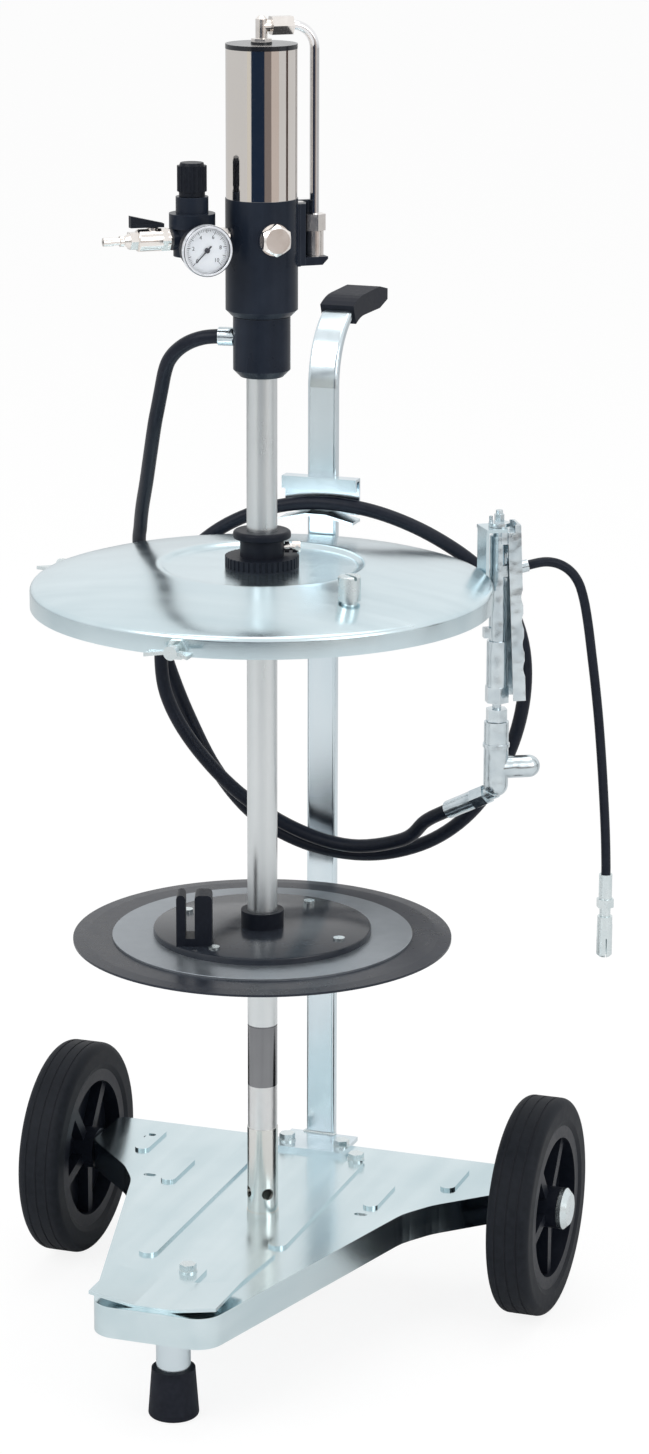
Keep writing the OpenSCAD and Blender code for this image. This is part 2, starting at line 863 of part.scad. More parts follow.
module front_leg() color(zinc) difference() {
    union() {
        translate([0, leg_y, 0]) rod(leg_r, leg_start, sheet_under);
        block(-leg_flange_half, leg_flange_half, -leg_flange_front, -leg_flange_back,
            sheet_under - leg_flange_t, sheet_under);
    }
    translate([0, leg_y, 0]) rod(leg_r - leg_wall, leg_start - over, sheet_under - leg_flange_t);
    translate([0, saddle_bolt_y, 0])
        rod(bolt_r + clear, sheet_under - leg_flange_t - over, sheet_under + over);
}

module foot_tip() color(rubber) translate([0, leg_y, 0]) difference() {
    rotate_extrude() polygon(rounded([[0, 0], [foot_tip_r, 0], [foot_tip_top_r, foot_tip_h],
        [0, foot_tip_h]], [0, foot_tip_round, 0, 0]));
    rod(leg_r + seat, leg_start, foot_tip_h + over);
}

module axle() color(chrome) translate([0, axle_y, axle_z]) rotate([0, 90, 0])
    rod(axle_r, -axle_end + clear, axle_end - clear);

module wheel_bushes() color(grey) for (turn = [90, -90])
    translate([0, axle_y, axle_z]) rotate([0, turn, 0])
        ring(bush_r, axle_r + seat, deck_half, hub_end + cap_gap);

module at_wheel(side) translate([side * wheel_x, axle_y, axle_z]) rotate([0, 90, 0]) children();
module tyre(side) color(rubber) at_wheel(side) difference() {
    rotate_extrude() polygon(rounded([
        [tyre_bead_r, -tyre_bead_w / 2], [tyre_bead_r + tyre_bead_rise, -tyre_w / 2],
        [wheel_r, -tyre_w / 2], [wheel_r, tyre_w / 2],
        [tyre_bead_r + tyre_bead_rise, tyre_w / 2], [tyre_bead_r, tyre_bead_w / 2]],
        [0, tyre_bead_round, tyre_round, tyre_round, tyre_bead_round, 0]));
    for (s = tread_groove_shares)
        ring(wheel_r + over, wheel_r - tread_groove_d, s * tyre_w - tread_groove_w / 2,
            s * tyre_w + tread_groove_w / 2);
}
module rim(side) color(black) at_wheel(side) difference() {
    union() {
        ring(tyre_bead_r - seat, tyre_bead_r - rim_band, -tyre_bead_w / 2, tyre_bead_w / 2);
        rod(tyre_bead_r - rim_band / 2, -rim_web / 2, rim_web / 2);
        rod(hub_r, -hub_w / 2, hub_w / 2);
        for (i = [0 : spoke_n - 1]) rotate([0, 0, i * 360 / spoke_n])
            block(0, tyre_bead_r - rim_band / 2, -spoke_w / 2, spoke_w / 2, -spoke_depth, spoke_depth);
    }
    rod(bush_r + slip, -hub_w / 2 - over, hub_w / 2 + over);
}
module left_tyre() tyre(-1);
module right_tyre() tyre(1);
module left_rim() rim(-1);
module right_rim() rim(1);

// The post's hollow section, X across the trolley and Y through the strap
module strap(d) {
    w = post_w - 2 * d;
    t = post_t - 2 * d;
    r = max(post_r - d, clear);
    square([w - 2 * r, t], center = true);
    square([w, t - 2 * r], center = true);
    for (x = [-1, 1], y = [-1, 1]) translate([x * (w / 2 - r), y * (t / 2 - r)]) circle(r = r);
}
module post_path(d) {
    translate([0, post_y, deck_z - post_drop]) linear_extrude(post_drop + post_l) strap(d);
    translate([0, bend_y, bend_z]) rotate([90, 0, -90]) rotate_extrude(angle = 90)
        translate([post_bend, 0]) rotate([0, 0, 90]) strap(d);
    translate([0, bend_y, bend_z + post_bend]) rotate([-90, 0, 0]) linear_extrude(post_end) strap(d);
}
module post() color(zinc) difference() {
    union() {
        translate([post_x, 0, 0]) post_path(0);
        block(-plate_half, plate_half, post_front - plate_front - post_gap, post_front + post_t / 4,
            deck_z, deck_z + plate_t);
    }
    translate([post_x, 0, 0]) {
        post_path(post_wall);
        translate([0, post_y, deck_z - post_drop - over]) linear_extrude(2 * over) strap(post_wall);
        translate([0, bend_y + post_end - over, bend_z + post_bend])
            rotate([-90, 0, 0]) linear_extrude(2 * over) strap(post_wall);
    }
    for (x = [-foot_bolt_x, foot_bolt_x]) translate([x, foot_bolt_y, 0])
        rod(bolt_r + clear, deck_z - over, deck_z + plate_t + over);
    translate([0, post_front - over, hanger_z + hanger_bolt_up])
        rotate([-90, 0, 0]) rod(hanger_bolt_r + clear, 0, post_wall + 2 * over);
}

// The grip's side view as seen along X: Y backwards and Z up
function grip_outline() = let (top = bend_z + post_bend + post_t / 2, low = top - post_t,
        outer = post_bend + post_t / 2 + grip_front_over, inner = post_bend - post_t / 2 - grip_front_over)
    concat(
        [for (a = [grip_start_angle : corner_step / 2 : 90])
            [bend_y - outer * cos(a), bend_z + outer * sin(a)]],
        [[bend_y + post_end, top + grip_over], [bend_y + post_end + grip_tip, top],
            [bend_y + post_end + grip_tip, low], [bend_y + post_end, low - grip_over]],
        [for (a = [90 : -corner_step / 2 : grip_start_angle])
            [bend_y - inner * cos(a), bend_z + inner * sin(a)]]);
module grip_profile() polygon(grip_outline());
module handle_grip() color(black) translate([post_x, 0, 0]) difference() {
    translate([-grip_w / 2, 0, 0]) along_x() linear_extrude(grip_w) grip_profile();
    translate([0, bend_y, bend_z]) rotate([90, 0, -90]) rotate_extrude(angle = 90)
        translate([post_bend, 0]) rotate([0, 0, 90]) strap(-clear);
    translate([0, bend_y, bend_z + post_bend]) rotate([-90, 0, 0])
        linear_extrude(post_end + clear) strap(-clear);
}

module hose_hanger() color(zinc) difference() {
    union() {
        block(-hanger_left, hanger_right, post_front - deck_sheet, post_front, hanger_z,
            hanger_z + hanger_h);
        block(-hanger_left, hanger_right, post_front - deck_sheet - hanger_flange, post_front,
            hanger_z + hanger_h - deck_sheet, hanger_z + hanger_h);
        block(-hanger_left, hanger_right, post_front - deck_sheet - hanger_flange,
            post_front - hanger_flange, hanger_z + hanger_h - hanger_lip - deck_sheet,
            hanger_z + hanger_h);
        translate([0, post_front, hanger_z]) rotate([90, 0, 0]) linear_extrude(hanger_depth + deck_sheet)
            polygon([
                [-hanger_left, -hanger_droop], [-hanger_left + hanger_end, 0],
                [hanger_right - hanger_end, 0], [hanger_right, -hanger_droop],
                [hanger_right, deck_sheet - hanger_droop], [hanger_right - hanger_end, deck_sheet],
                [-hanger_left + hanger_end, deck_sheet], [-hanger_left, deck_sheet - hanger_droop]]);
    }
    translate([0, post_front + over, hanger_z + hanger_bolt_up]) rotate([90, 0, 0])
        rod(hanger_bolt_r + clear, 0, deck_sheet + 2 * over);
}

// Pump tubes: each lower piece holds the next one's spigot
module tube_piece(outer, z0, z1, socket_below, spigot_above) difference() {
    union() {
        rod(outer, z0, z1);
        if (spigot_above) rod(spigot_r, z1 - over, z1 + spigot_l);
    }
    rod(pump_bore, z0 - over, z1 + spigot_l + over);
    if (socket_below) rod(spigot_r + seat, z0 - over, z0 + spigot_l + clear);
}
module suction_tube() color(chrome) at_axis()
    tube_piece(tube_r, lower_top, tube_top, true, false);
module lower_cylinder() color("#6f7378") at_axis() {
    difference() {
        tube_piece(tube_r, sleeve_top, lower_top, false, true);
        ring(tube_r + over, tube_r - seal_groove, lower_top - seal_groove_h, lower_top);
    }
    ring(spigot_r, check_seat_r, check_z - check_seat_h, check_z);
}
module valve_sleeve() color(grey) at_axis() tube_piece(sleeve_r, foot_top, sleeve_top, true, false);
module foot_valve() color(chrome) at_axis() difference() {
    union() {
        tube_piece(foot_r, deck_z, foot_top, false, true);
        ring(foot_r + foot_ring_over, pump_bore, deck_z, deck_z + foot_ring_h);
    }
    for (i = [0 : 3]) outward(pump_turn - 90 + i * 90, deck_z + intake_rise)
        rod(intake_r, pump_bore - intake_r / 2, foot_r + over);
}
module check_valve() color(chrome) at_axis()
    ring(check_plate_r, rod_r + clear, check_z + easy, check_z + easy + check_plate_h);

module outlet_body() color(black) at_axis() difference() {
    union() {
        cone(outlet_r - outlet_chamfer, outlet_r, outlet_z0, outlet_z0 + outlet_chamfer);
        rod(outlet_r, outlet_z0 + outlet_chamfer, outlet_top);
    }
    ring(outlet_r + over, outlet_r - outlet_groove, outlet_top - outlet_groove, outlet_top);
    rod(tube_r + seat, outlet_z0 - over, tube_top);
    rod(pump_bore, tube_top - over, chamber_top);
    rod(piston_rod_r + slip, chamber_top - over, outlet_top + over);
    rod(gland_r + seat, outlet_top - gland_h, outlet_top + over);
    outward(outlet_az, port_z) {
        rod(port_r, 0, outlet_r + over);
        rod(port_thread_r + seat, outlet_r - port_thread_l, outlet_r + over);
    }
}

module motor_body() color(black) at_pump() difference() {
    union() {
        cone(motor_r - motor_chamfer, motor_r, outlet_top, outlet_top + motor_chamfer);
        rod(motor_r, outlet_top + motor_chamfer, motor_top);
        rod(cylinder_bore - clear, motor_top - over, motor_top + motor_spigot);
        block(0, block_x0, -block_half, block_half, fitting_z - shelf_t, air_z + block_up);
        translate([0, 0, plug_z]) rotate([90, 0, 0]) rod(plug_washer_r, 0, motor_r + plug_boss);
    }
    block(block_x0, motor_r + over, -block_half, block_half, fitting_z - shelf_t, air_z + block_up);
    rod(piston_rod_r + slip, outlet_top - over, motor_top + motor_spigot + over);
    rod(gland_r + seat, motor_top + motor_spigot - motor_seal_h, motor_top + motor_spigot + over);
    translate([0, 0, plug_z]) rotate([90, 0, 0])
        rod(plug_thread_r + seat, motor_r + plug_boss - plug_thread_l, motor_r + plug_boss + over);
    translate([0, 0, air_z]) rotate([0, -90, 0])
        rod(air_port_r + seat, motor_r - port_thread_l, motor_r + over);
}
module motor_cylinder() color(nickel) at_axis()
    ring(cylinder_r, cylinder_bore, motor_top, cylinder_top);
module cylinder_cap() color("#4a4c50") at_axis() difference() {
    union() {
        rod(cylinder_r + cap_over, cylinder_top, cap_top);
        rod(cylinder_bore - clear, cylinder_top - cap_spigot, cylinder_top + over);
        rod(cap_boss_r, cap_top - over, cap_top + cap_boss_h);
    }
    rod(air_bore, cylinder_top - cap_spigot - over, cap_top + cap_boss_h + over);
}
module rod_seals() color(rubber) at_axis() {
    ring(gland_r, piston_rod_r + slip, outlet_top - gland_h + clear, outlet_top - clear);
    ring(gland_r, piston_rod_r + slip, motor_top + motor_spigot - motor_seal_h + clear,
        motor_top + motor_spigot);
}
module air_piston() color(grey) at_axis() difference() {
    union() {
        rod(cylinder_bore - slip, piston_z, piston_z + piston_t);
        rod(piston_rod_r, piston_rod_end, piston_z + over);
    }
    for (z = [piston_ring_w, piston_t - 2 * piston_ring_w])
        ring(cylinder_bore + over, cylinder_bore - piston_ring_d, piston_z + z,
            piston_z + z + piston_ring_w);
    rod(rod_r - over + seat, piston_rod_end - over, piston_rod_end + rod_joint + clear);
}
module pump_rod() color(chrome) at_axis() {
    rod(rod_r, rod_end, piston_rod_end);
    rod(rod_r - over, piston_rod_end - over, piston_rod_end + rod_joint);
    rod(pump_bore - slip, lower_top - pump_piston_up, lower_top - pump_piston_up + pump_piston_h);
}
module priming_plunger() color(grey) at_axis()
    ring(pump_bore - clear, rod_r + seat, rod_end, rod_end + plunger_h);

module body_plugs() color(chrome) at_pump() {
    translate([0, 0, plug_z]) rotate([90, 0, 0]) {
        y = motor_r + plug_boss;
        rod(plug_washer_r, y, y + plug_washer_t);
        intersection() {
            hex(plug_af, y + plug_washer_t - over, y + plug_washer_t + plug_head);
            cone(plug_face_r + plug_head + over, plug_face_r - over, y + plug_washer_t - over,
                y + plug_washer_t + plug_head + over);
        }
        rod(plug_thread_r, y - plug_thread_l + clear, y + over);
    }
    translate([spool_x, 0, air_z + block_up]) rod(spool_plug_r, -spool_plug_l, 0);
}

module valve_block() color(black) at_pump() difference() {
    union() {
        translate([0, 0, air_z - block_down]) linear_extrude(block_down + block_up) polygon([
            [block_x0, -block_half], [block_x0 + block_front_l, -block_half],
            [block_x0 + block_middle_l, -block_middle], [block_x0 + block_middle_l, wall_y],
            [wall_x - block_chamfer, wall_y], [wall_x, wall_y + block_chamfer], [wall_x, block_half],
            [block_x0, block_half]]);
        translate([0, block_half, fitting_z]) rotate([90, 0, 0])
            linear_extrude(2 * block_half - block_chamfer) polygon([
                [block_x0, -shelf_t], [shelf_x - shelf_chamfer, -shelf_t],
                [shelf_x, -shelf_t + shelf_chamfer], [shelf_x, 0], [block_x0, 0]]);
    }
    translate([fitting_x, 0, 0]) {
        rod(fitting_r + easy, fitting_z, air_z + block_up + over);
        hex(side_nut_af + 2 * easy, fitting_z + fitting_h, air_z + block_up + over);
    }
    translate([spool_x, 0, 0]) {
        rod(spool_r + slip, air_z - spool_bore_down, air_z + spool_bore_up);
        rod(spool_plug_r + seat, air_z + spool_bore_up - over, air_z + block_up + over);
    }
    translate([fitting_x, 0, 0]) rod(air_bore, fitting_z - shelf_t / 2, fitting_z + over);
}
module spool() color(chrome) at_pump()
    translate([spool_x, 0, air_z - spool_bore_down + spool_up - spool_end_gap]) difference() {
        rod(spool_r, 0, spool_l);
        for (share = [0.3, 0.6]) ring(spool_r + over, spool_r - spool_waist, share * spool_l,
            share * spool_l + spool_r);
    }

module transfer_tube() color(black) at_pump() difference() {
    bend_x = fitting_x - transfer_bend;
    union() {
        translate([0, 0, arm_z]) rotate([0, 90, 0]) rod(transfer_r, arm_tube_x, bend_x);
        translate([bend_x, 0, arm_z - transfer_bend]) rotate([90, 0, 0])
            rotate_extrude(angle = 90) translate([transfer_bend, 0]) circle(r = transfer_r);
        translate([fitting_x, 0, 0])
            rod(transfer_r, fitting_z + fitting_h - fitting_bore_l / 2, arm_z - transfer_bend);
    }
    translate([0, 0, arm_z]) rotate([0, 90, 0]) rod(air_bore, arm_tube_x - over, bend_x);
    translate([bend_x, 0, arm_z - transfer_bend]) rotate([90, 0, 0])
        rotate_extrude(angle = 90) translate([transfer_bend, 0]) circle(r = air_bore);
    translate([fitting_x, 0, 0])
        rod(air_bore, fitting_z + fitting_h - fitting_bore_l / 2 - over, arm_z - transfer_bend);
}
module tube_fittings() color(black) at_pump() {
    difference() {
        union() {
            rod(elbow_r, cap_top + cap_boss_h, arm_z + elbow_top - elbow_r / 2);
            cone(elbow_r, elbow_r / 2, arm_z + elbow_top - elbow_r / 2, arm_z + elbow_top);
            hex(arm_nut_af, cap_top + cap_boss_h, cap_top + 2 * cap_boss_h + over);
            translate([0, 0, arm_z]) rotate([0, 90, 0]) {
                rod(elbow_r, 0, arm_nut_x0 + over);
                hex(arm_nut_af, arm_nut_x0, arm_nut_x0 + arm_nut_l);
            }
        }
        translate([0, 0, arm_z]) rotate([0, 90, 0]) {
            rod(air_bore, 0, arm_nut_x0 + arm_nut_l + over);
            rod(transfer_r + seat, arm_tube_x - clear, arm_nut_x0 + arm_nut_l + over);
        }
        rod(air_bore, cap_top, arm_z);
    }
    translate([fitting_x, 0, 0]) difference() {
        z = fitting_z + fitting_h;
        union() {
            rod(fitting_r, fitting_z, z);
            rod(transfer_r + over, z - over, z + nut_gap + over);
            hex(side_nut_af, z + nut_gap, z + nut_gap + side_nut_h);
        }
        rod(transfer_r + seat, z - fitting_bore_l / 2 - clear, z + nut_gap + side_nut_h + over);
        rod(air_bore, fitting_z - over, z);
    }
}

// Air line pieces, from the motor outwards
module regulator_body() color(black) {
    at_regulator() difference() {
        union() {
            rod(regulator_r, air_z - regulator_down, air_z + regulator_up + over);
            rod(flange_r, air_z + regulator_up, air_z + regulator_up + flange_t);
            rod(bonnet_r, air_z + regulator_up, air_z + regulator_up + flange_t + bonnet_h);
            rod(stem_r, air_z, air_z + regulator_up + flange_t + bonnet_h + stem_l);
            translate([regulator_a, 0, air_z]) rotate([0, -90, 0])
                rod(regulator_port_r, regulator_right, regulator_left);
            translate([0, 0, air_z - gauge_drop]) rotate([90, 0, 0]) rod(gauge_stem_r, 0, gauge_b0);
        }
        translate([regulator_a, 0, air_z]) rotate([0, -90, 0]) {
            rod(air_bore, regulator_right - over, regulator_left + over);
            rod(air_port_r + seat, regulator_right - over, regulator_right + port_thread_l);
            rod(air_port_r + seat, regulator_left - port_thread_l, regulator_left + over);
        }
    }
}
module regulator_knob() color(black) at_regulator() {
    z0 = air_z + regulator_up + flange_t + bonnet_h + easy;
    z1 = z0 + knob_h - knob_dome;
    difference() {
        union() {
            rod(knob_base_r, z0, z1);
            translate([0, 0, z0 + knob_foot]) linear_extrude(z1 - z0 - knob_foot) knob_section();
            cone(knob_base_r, knob_base_r - knob_dome / 2, z1 - over, z0 + knob_h);
        }
        rod(stem_r + slip, z0 - over, z0 + stem_l);
    }
}
module knob_section() polygon([for (i = [0 : knob_ribs - 1], k = [0 : 3])
    let (r = k < 2 ? knob_r : knob_r - knob_rib_d, a = (i + k / 4) * 360 / knob_ribs)
    r * [cos(a), sin(a)]]);
module ball_valve_body() color(nickel) air_line() difference() {
    union() {
        rod(air_port_r, regulator_left - port_thread_l + clear, valve_a0);
        rod(valve_r, valve_a0, valve_a0 + 2 * over);
        hex(2 * valve_r - over, valve_a0, ball_a - ball_r);
        rod(valve_r, ball_a - ball_r - over, valve_a1 - over);
        cone(valve_r, valve_r - over, valve_a1 - over, valve_a1);
        translate([0, 0, ball_a]) rotate([0, 90, 0]) rod(ball_boss_r, 0, ball_boss_h);
    }
    rod(ball_bore, regulator_left - port_thread_l - over, valve_a1 + over);
    rod(nipple_thread_r + seat, valve_a1 - nipple_thread_l, valve_a1 + over);
    translate([0, 0, ball_a]) {
        sphere(r = ball_r + clear);
        rotate([0, 90, 0]) rod(ball_stem_r + slip, 0, ball_boss_h + over);
    }
}
module air_ports() color(nickel) air_line() difference() {
    union() {
        rod(air_port_r, motor_r - port_thread_l + clear, regulator_right + port_thread_l - clear);
        hex(air_port_hex, motor_r + over, regulator_right - over);
    }
    rod(air_bore, 0, regulator_left);
}
module air_nipple() {
    color(nickel) air_line() {
        a1 = valve_a1 + nipple_hex_l;
        a2 = a1 + nipple_cone_l;
        a3 = a2 + nipple_collar_l;
        a4 = a3 + nipple_neck_l;
        difference() {
            union() {
                rod(nipple_thread_r, valve_a1 - nipple_thread_l + clear, valve_a1 + over);
                hex(nipple_hex_af, valve_a1, a1);
                cone(nipple_hex_af / 2 - over / 2, nipple_neck_r, a1, a2);
                rod(nipple_collar_r, a2, a3);
                rod(nipple_neck_r, a1 - over, a4 + over);
                rod(nipple_r, a4, a4 + nipple_tip_l);
            }
            rod(air_bore / 2, valve_a1 - nipple_thread_l - over, a4 + nipple_tip_l + over);
        }
    }
    air_ports();
}
module valve_lever() {
    color(nickel) air_line() translate([0, 0, ball_a]) difference() {
        union() {
            sphere(r = ball_r);
            rotate([0, 90, 0]) rod(ball_stem_r, 0, ball_boss_h + lever_gap + lever_t / 2);
        }
        rod(ball_bore, -ball_r - over, ball_r + over);
    }
    color(black) at_pump() translate([-ball_a, 0, air_z + ball_boss_h + lever_gap]) difference() {
        union() {
            linear_extrude(lever_t) lever_outline();
            rotate([90, 0, 0]) translate([0, 0, -lever_tip_half]) linear_extrude(2 * lever_tip_half)
                polygon([[lever_in, 0], [lever_in, lever_t], [-lever_out, lever_h], [-lever_out, 0]]);
        }
        rod(ball_stem_r + seat, -over, lever_t / 2);
    }
}
module lever_outline() polygon(rounded([[lever_in, -lever_half], [lever_in, lever_half],
    [-lever_out, lever_tip_half], [-lever_out, -lever_tip_half]], lever_tip_half / 2));

module gauge_case() color(black) gauge_way() difference() {
    union() {
        rod(gauge_r - gauge_back_step, gauge_b0, gauge_b1 - bezel_l + over);
        rod(gauge_r, gauge_b1 - bezel_l, gauge_b1);
    }
    rod(gauge_r - gauge_back_step - gauge_wall, gauge_b0 + gauge_floor, gauge_b1 + over);
    rod(gauge_r - gauge_wall, dial_b - dial_t, gauge_b1 + over);
}
module gauge_dial() color(cream) gauge_way() difference() {
    rod(gauge_r - gauge_wall - seat, dial_b - dial_t, dial_b);
    rod(needle_pin_r + slip, dial_b - dial_t - over, dial_b + over);
}
module gauge_needle() color(black) gauge_way() {
    rod(needle_hub_r, dial_b + easy, dial_b + needle_up + needle_t);
    rod(needle_pin_r, dial_b + easy - needle_pin_l, dial_b + needle_up);
    translate([0, 0, dial_b + needle_up]) rotate([0, 0, -90 - needle_zero]) linear_extrude(needle_t)
        polygon([[-needle_tail, -needle_w / 2], [-needle_tail, needle_w / 2],
            [needle_l, needle_tip_w / 2], [needle_l, -needle_tip_w / 2]]);
}
module gauge_glass() color("#e8f0f2", 0.4) gauge_way()
    rod(gauge_r - gauge_wall - seat, gauge_b1 - glass_t, gauge_b1 - glass_t / 3);

// Drum lid and what it carries
module drum_lid() color(zinc) at_axis() difference() {
    union() {
        rotate_extrude() polygon(rounded([
            [lid_r - lid_sheet, lid_z - lid_h], [lid_r, lid_z - lid_h], [lid_r, lid_z],
            [shoulder_r, lid_z + shoulder_h], [crown_r, lid_z + crown_h], [dish_r, adapter_z],
            [adapter_spigot_r + seat, adapter_z], [adapter_spigot_r + seat, adapter_z - lid_sheet],
            [dish_r, adapter_z - lid_sheet], [crown_r, lid_z + crown_h - lid_sheet],
            [shoulder_r, lid_z + shoulder_h - lid_sheet], [lid_r - lid_sheet, lid_z - lid_sheet]],
            [0, 0, lid_edge, shoulder_round, dish_round, dish_round, 0, 0, dish_round, dish_round,
            shoulder_round, lid_edge - lid_sheet]));
        rotate([0, 0, bung_az]) translate([bung_r, 0, 0])
            rod(bung_plug_r, bung_seat_z - bung_boss_h, bung_seat_z);
    }
    rotate([0, 0, bung_az]) translate([bung_r, 0, 0])
        rod(bung_thread_r + seat, bung_seat_z - bung_boss_h - over, bung_seat_z + over);
    for (az = lid_screw_azs) outward(az, lid_z - lid_screw_down)
        rod(lid_screw_r + seat, lid_r - lid_sheet - over, lid_r + over);
    for (v = [-rivet_v, rivet_v]) outward(holder_az, lid_z - rivet_down) translate([0, v, 0])
        rod(rivet_r + seat, lid_r - 2 * lid_sheet - over, lid_r + over);
}
module bung_adapter() color(black) at_axis() difference() {
    z1 = adapter_z + adapter_flange_h;
    z2 = z1 + adapter_neck_h;
    union() {
        rod(adapter_spigot_r, adapter_z - adapter_spigot_l, adapter_z + over);
        rod(adapter_flange_r, adapter_z, z1);
        rod(adapter_neck_r, z1 - over, z2 + over);
        rotate_extrude() polygon(rounded([[0, z2], [adapter_top_r, z2],
            [adapter_top_r, z2 + adapter_top_h], [0, z2 + adapter_top_h]],
            [0, adapter_top_round / 2, adapter_top_round, 0]));
    }
    rod(tube_r + slip, adapter_z - adapter_spigot_l - over, z2 + adapter_top_h + over);
    for (i = [0 : adapter_knurl_n - 1]) rotate([0, 0, i * 360 / adapter_knurl_n])
        translate([adapter_flange_r, 0, 0])
            rod(adapter_knurl_r, adapter_z + over, z1 + over);
    outward(clamp_az, adapter_z + clamp_up) rod(clamp_r + slip, 0, adapter_top_r);
}
module adapter_screw() color(nickel) at_axis() outward(clamp_az, adapter_z + clamp_up) {
    rod(clamp_r, tube_r + easy, clamp_out);
    rod(clamp_head_r, adapter_neck_r + easy, adapter_neck_r + easy + clamp_collar);
    rod(clamp_head_r, clamp_out - over, clamp_out + clamp_head_l);
    translate([0, 0, clamp_out + clamp_head_l / 2]) rotate([90, 0, 0])
        rod(clamp_bar_r, -clamp_bar_half, clamp_bar_half);
}
module wing_screw(az) outward(az, lid_z - lid_screw_down) {
    rod(lid_screw_r, lid_r - lid_screw_in, lid_r + lid_nut_t + over);
    hex(2 * lid_nut_r, lid_r + clear, lid_r + lid_nut_t);
    rod(lid_screw_r, lid_r, lid_r + lid_screw_out + over);
    rod(wing_hub_r, lid_r + lid_screw_out, lid_r + lid_screw_out + wing_h);
    translate([0, 0, lid_r + lid_screw_out]) rotate([0, 90, 0]) translate([0, 0, -wing_t / 2])
        linear_extrude(wing_t) polygon(rounded([
            [-wing_h, -wing_hub_r], [-wing_h - wing_l, -wing_half], [-wing_h / 2, -wing_half],
            [0, -wing_hub_r], [0, wing_hub_r], [-wing_h / 2, wing_half],
            [-wing_h - wing_l, wing_half], [-wing_h, wing_hub_r]], 0));
}
module lid_fasteners() color(chrome) at_axis() {
    for (az = lid_screw_azs) wing_screw(az);
    for (v = [-rivet_v, rivet_v]) outward(holder_az, lid_z - rivet_down) translate([0, v, 0]) {
        rod(rivet_r, lid_r - lid_sheet - rivet_head, lid_r + holder_t + rivet_head / 2);
        rod(rivet_head_r, lid_r + holder_t, lid_r + holder_t + rivet_head);
        rod(rivet_head_r, lid_r - lid_sheet - 2 * rivet_head, lid_r - lid_sheet - rivet_head / 2);
    }
}
module bung_plug() color(zinc) at_axis() rotate([0, 0, bung_az]) translate([bung_r, 0, bung_seat_z])
    difference() {
        union() {
            rod(bung_plug_r, 0, bung_plug_h - over);
            cone(bung_plug_r, bung_plug_r - over, bung_plug_h - over, bung_plug_h);
            rod(bung_thread_r, -bung_thread_l, over);
        }
        block(-bung_plug_r - over, bung_plug_r + over, -bung_slot_w / 2, bung_slot_w / 2,
            bung_plug_h - bung_slot_d, bung_plug_h + over);
    }
module gun_holder() color(black) at_axis() rotate([0, 0, holder_az]) difference() {
    union() {
        block(lid_r, lid_r + holder_t, -holder_half, holder_half, shelf_z - holder_drop, shelf_z);
        block(lid_r, lid_r + holder_reach + holder_over, -holder_arm_half, holder_arm_half,
            shelf_z - holder_t, shelf_z);
    }
    translate([lid_r + holder_reach, 0, 0]) {
        rod(notch_r, shelf_z - holder_t - over, shelf_z + over);
        block(0, holder_over + over, -notch_r, notch_r, shelf_z - holder_t - over, shelf_z + over);
    }
    for (v = [-rivet_v, rivet_v]) translate([0, v, lid_z - rivet_down]) rotate([0, 90, 0])
        rod(rivet_r + seat, lid_r - over, lid_r + holder_t + over);
}

// Follower plate
module follower_rubber() color(rubber) at_axis() difference() {
    rotate_extrude() polygon([
        [wiper_hub_r + seat, follower_z - wiper_t], [wiper_r - 2 * wiper_lip, follower_z - wiper_t],
        [wiper_r, follower_z - wiper_t + wiper_lip_up], [wiper_r, follower_z - wiper_lip_drop],
        [wiper_r - 2 * wiper_lip, follower_z],
        [wiper_hub_r + seat, follower_z]]);
    follower_screw_places() rod(follower_screw_shank + seat, follower_z - wiper_t - over, follower_z + over);
}
module follower_screw_places() for (i = [0 : follower_screw_n - 1])
    rotate([0, 0, follower_screw_az + i * 360 / follower_screw_n])
        translate([follower_screw_r, 0, 0]) children();
module clip_place() rotate([0, 0, clip_az]) translate([clip_r, 0, 0])
    rotate([0, 0, clip_turn - clip_az]) children();
module clip_block(x0, x1) translate([0, clip_depth / 2, follower_z + ring_t + disc_t])
    rotate([90, 0, 0]) linear_extrude(clip_depth) polygon(rounded(
        [[x0, -over], [x1, -over], [x1, clip_h], [x0, clip_h]], [0, 0, ear_round, ear_round]));
module follower_disc() at_axis() {
    color(grey) difference() {
        ring(ring_r, wiper_hub_r + seat, follower_z, follower_z + ring_t);
        follower_screw_places()
            rod(follower_screw_shank + seat, follower_z - over, follower_z + ring_t + over);
    }
    color(black) difference() {
        union() {
            ring(disc_r, wiper_hub_r + seat, follower_z + ring_t, follower_z + ring_t + disc_t);
            clip_place() {
                clip_block(-clip_w / 2, -clip_w / 2 + clip_left);
                clip_block(clip_w / 2 - clip_right, clip_w / 2);
                translate([-clip_w / 2, -clip_depth / 2, follower_z + ring_t + disc_t - over])
                    cube([clip_w, clip_depth, clip_base + over]);
            }
        }
        follower_screw_places()
            rod(follower_screw_shank + seat, follower_z, follower_z + ring_t + disc_t + over);
    }
}
module follower_hub() color(black) at_axis() difference() {
    z0 = follower_z - wiper_t - hub_down;
    union() {
        rod(wiper_hub_r, z0, follower_z + ring_t + disc_t + hub_top);
        rod(wiper_hub_r + hub_flange, z0, follower_z - wiper_t);
    }
    rod(tube_r + slider, z0 - over, follower_z + ring_t + disc_t + hub_top + over);
}
module follower_screws() color(chrome) at_axis() follower_screw_places() {
    z = follower_z + ring_t + disc_t;
    rod(follower_screw_shank, follower_z - wiper_t - follower_screw_head / 2, z + over);
    rod(follower_screw_head_r, z, z + follower_screw_head);
    rod(follower_screw_head_r, follower_z - wiper_t - follower_screw_head, follower_z - wiper_t);
}

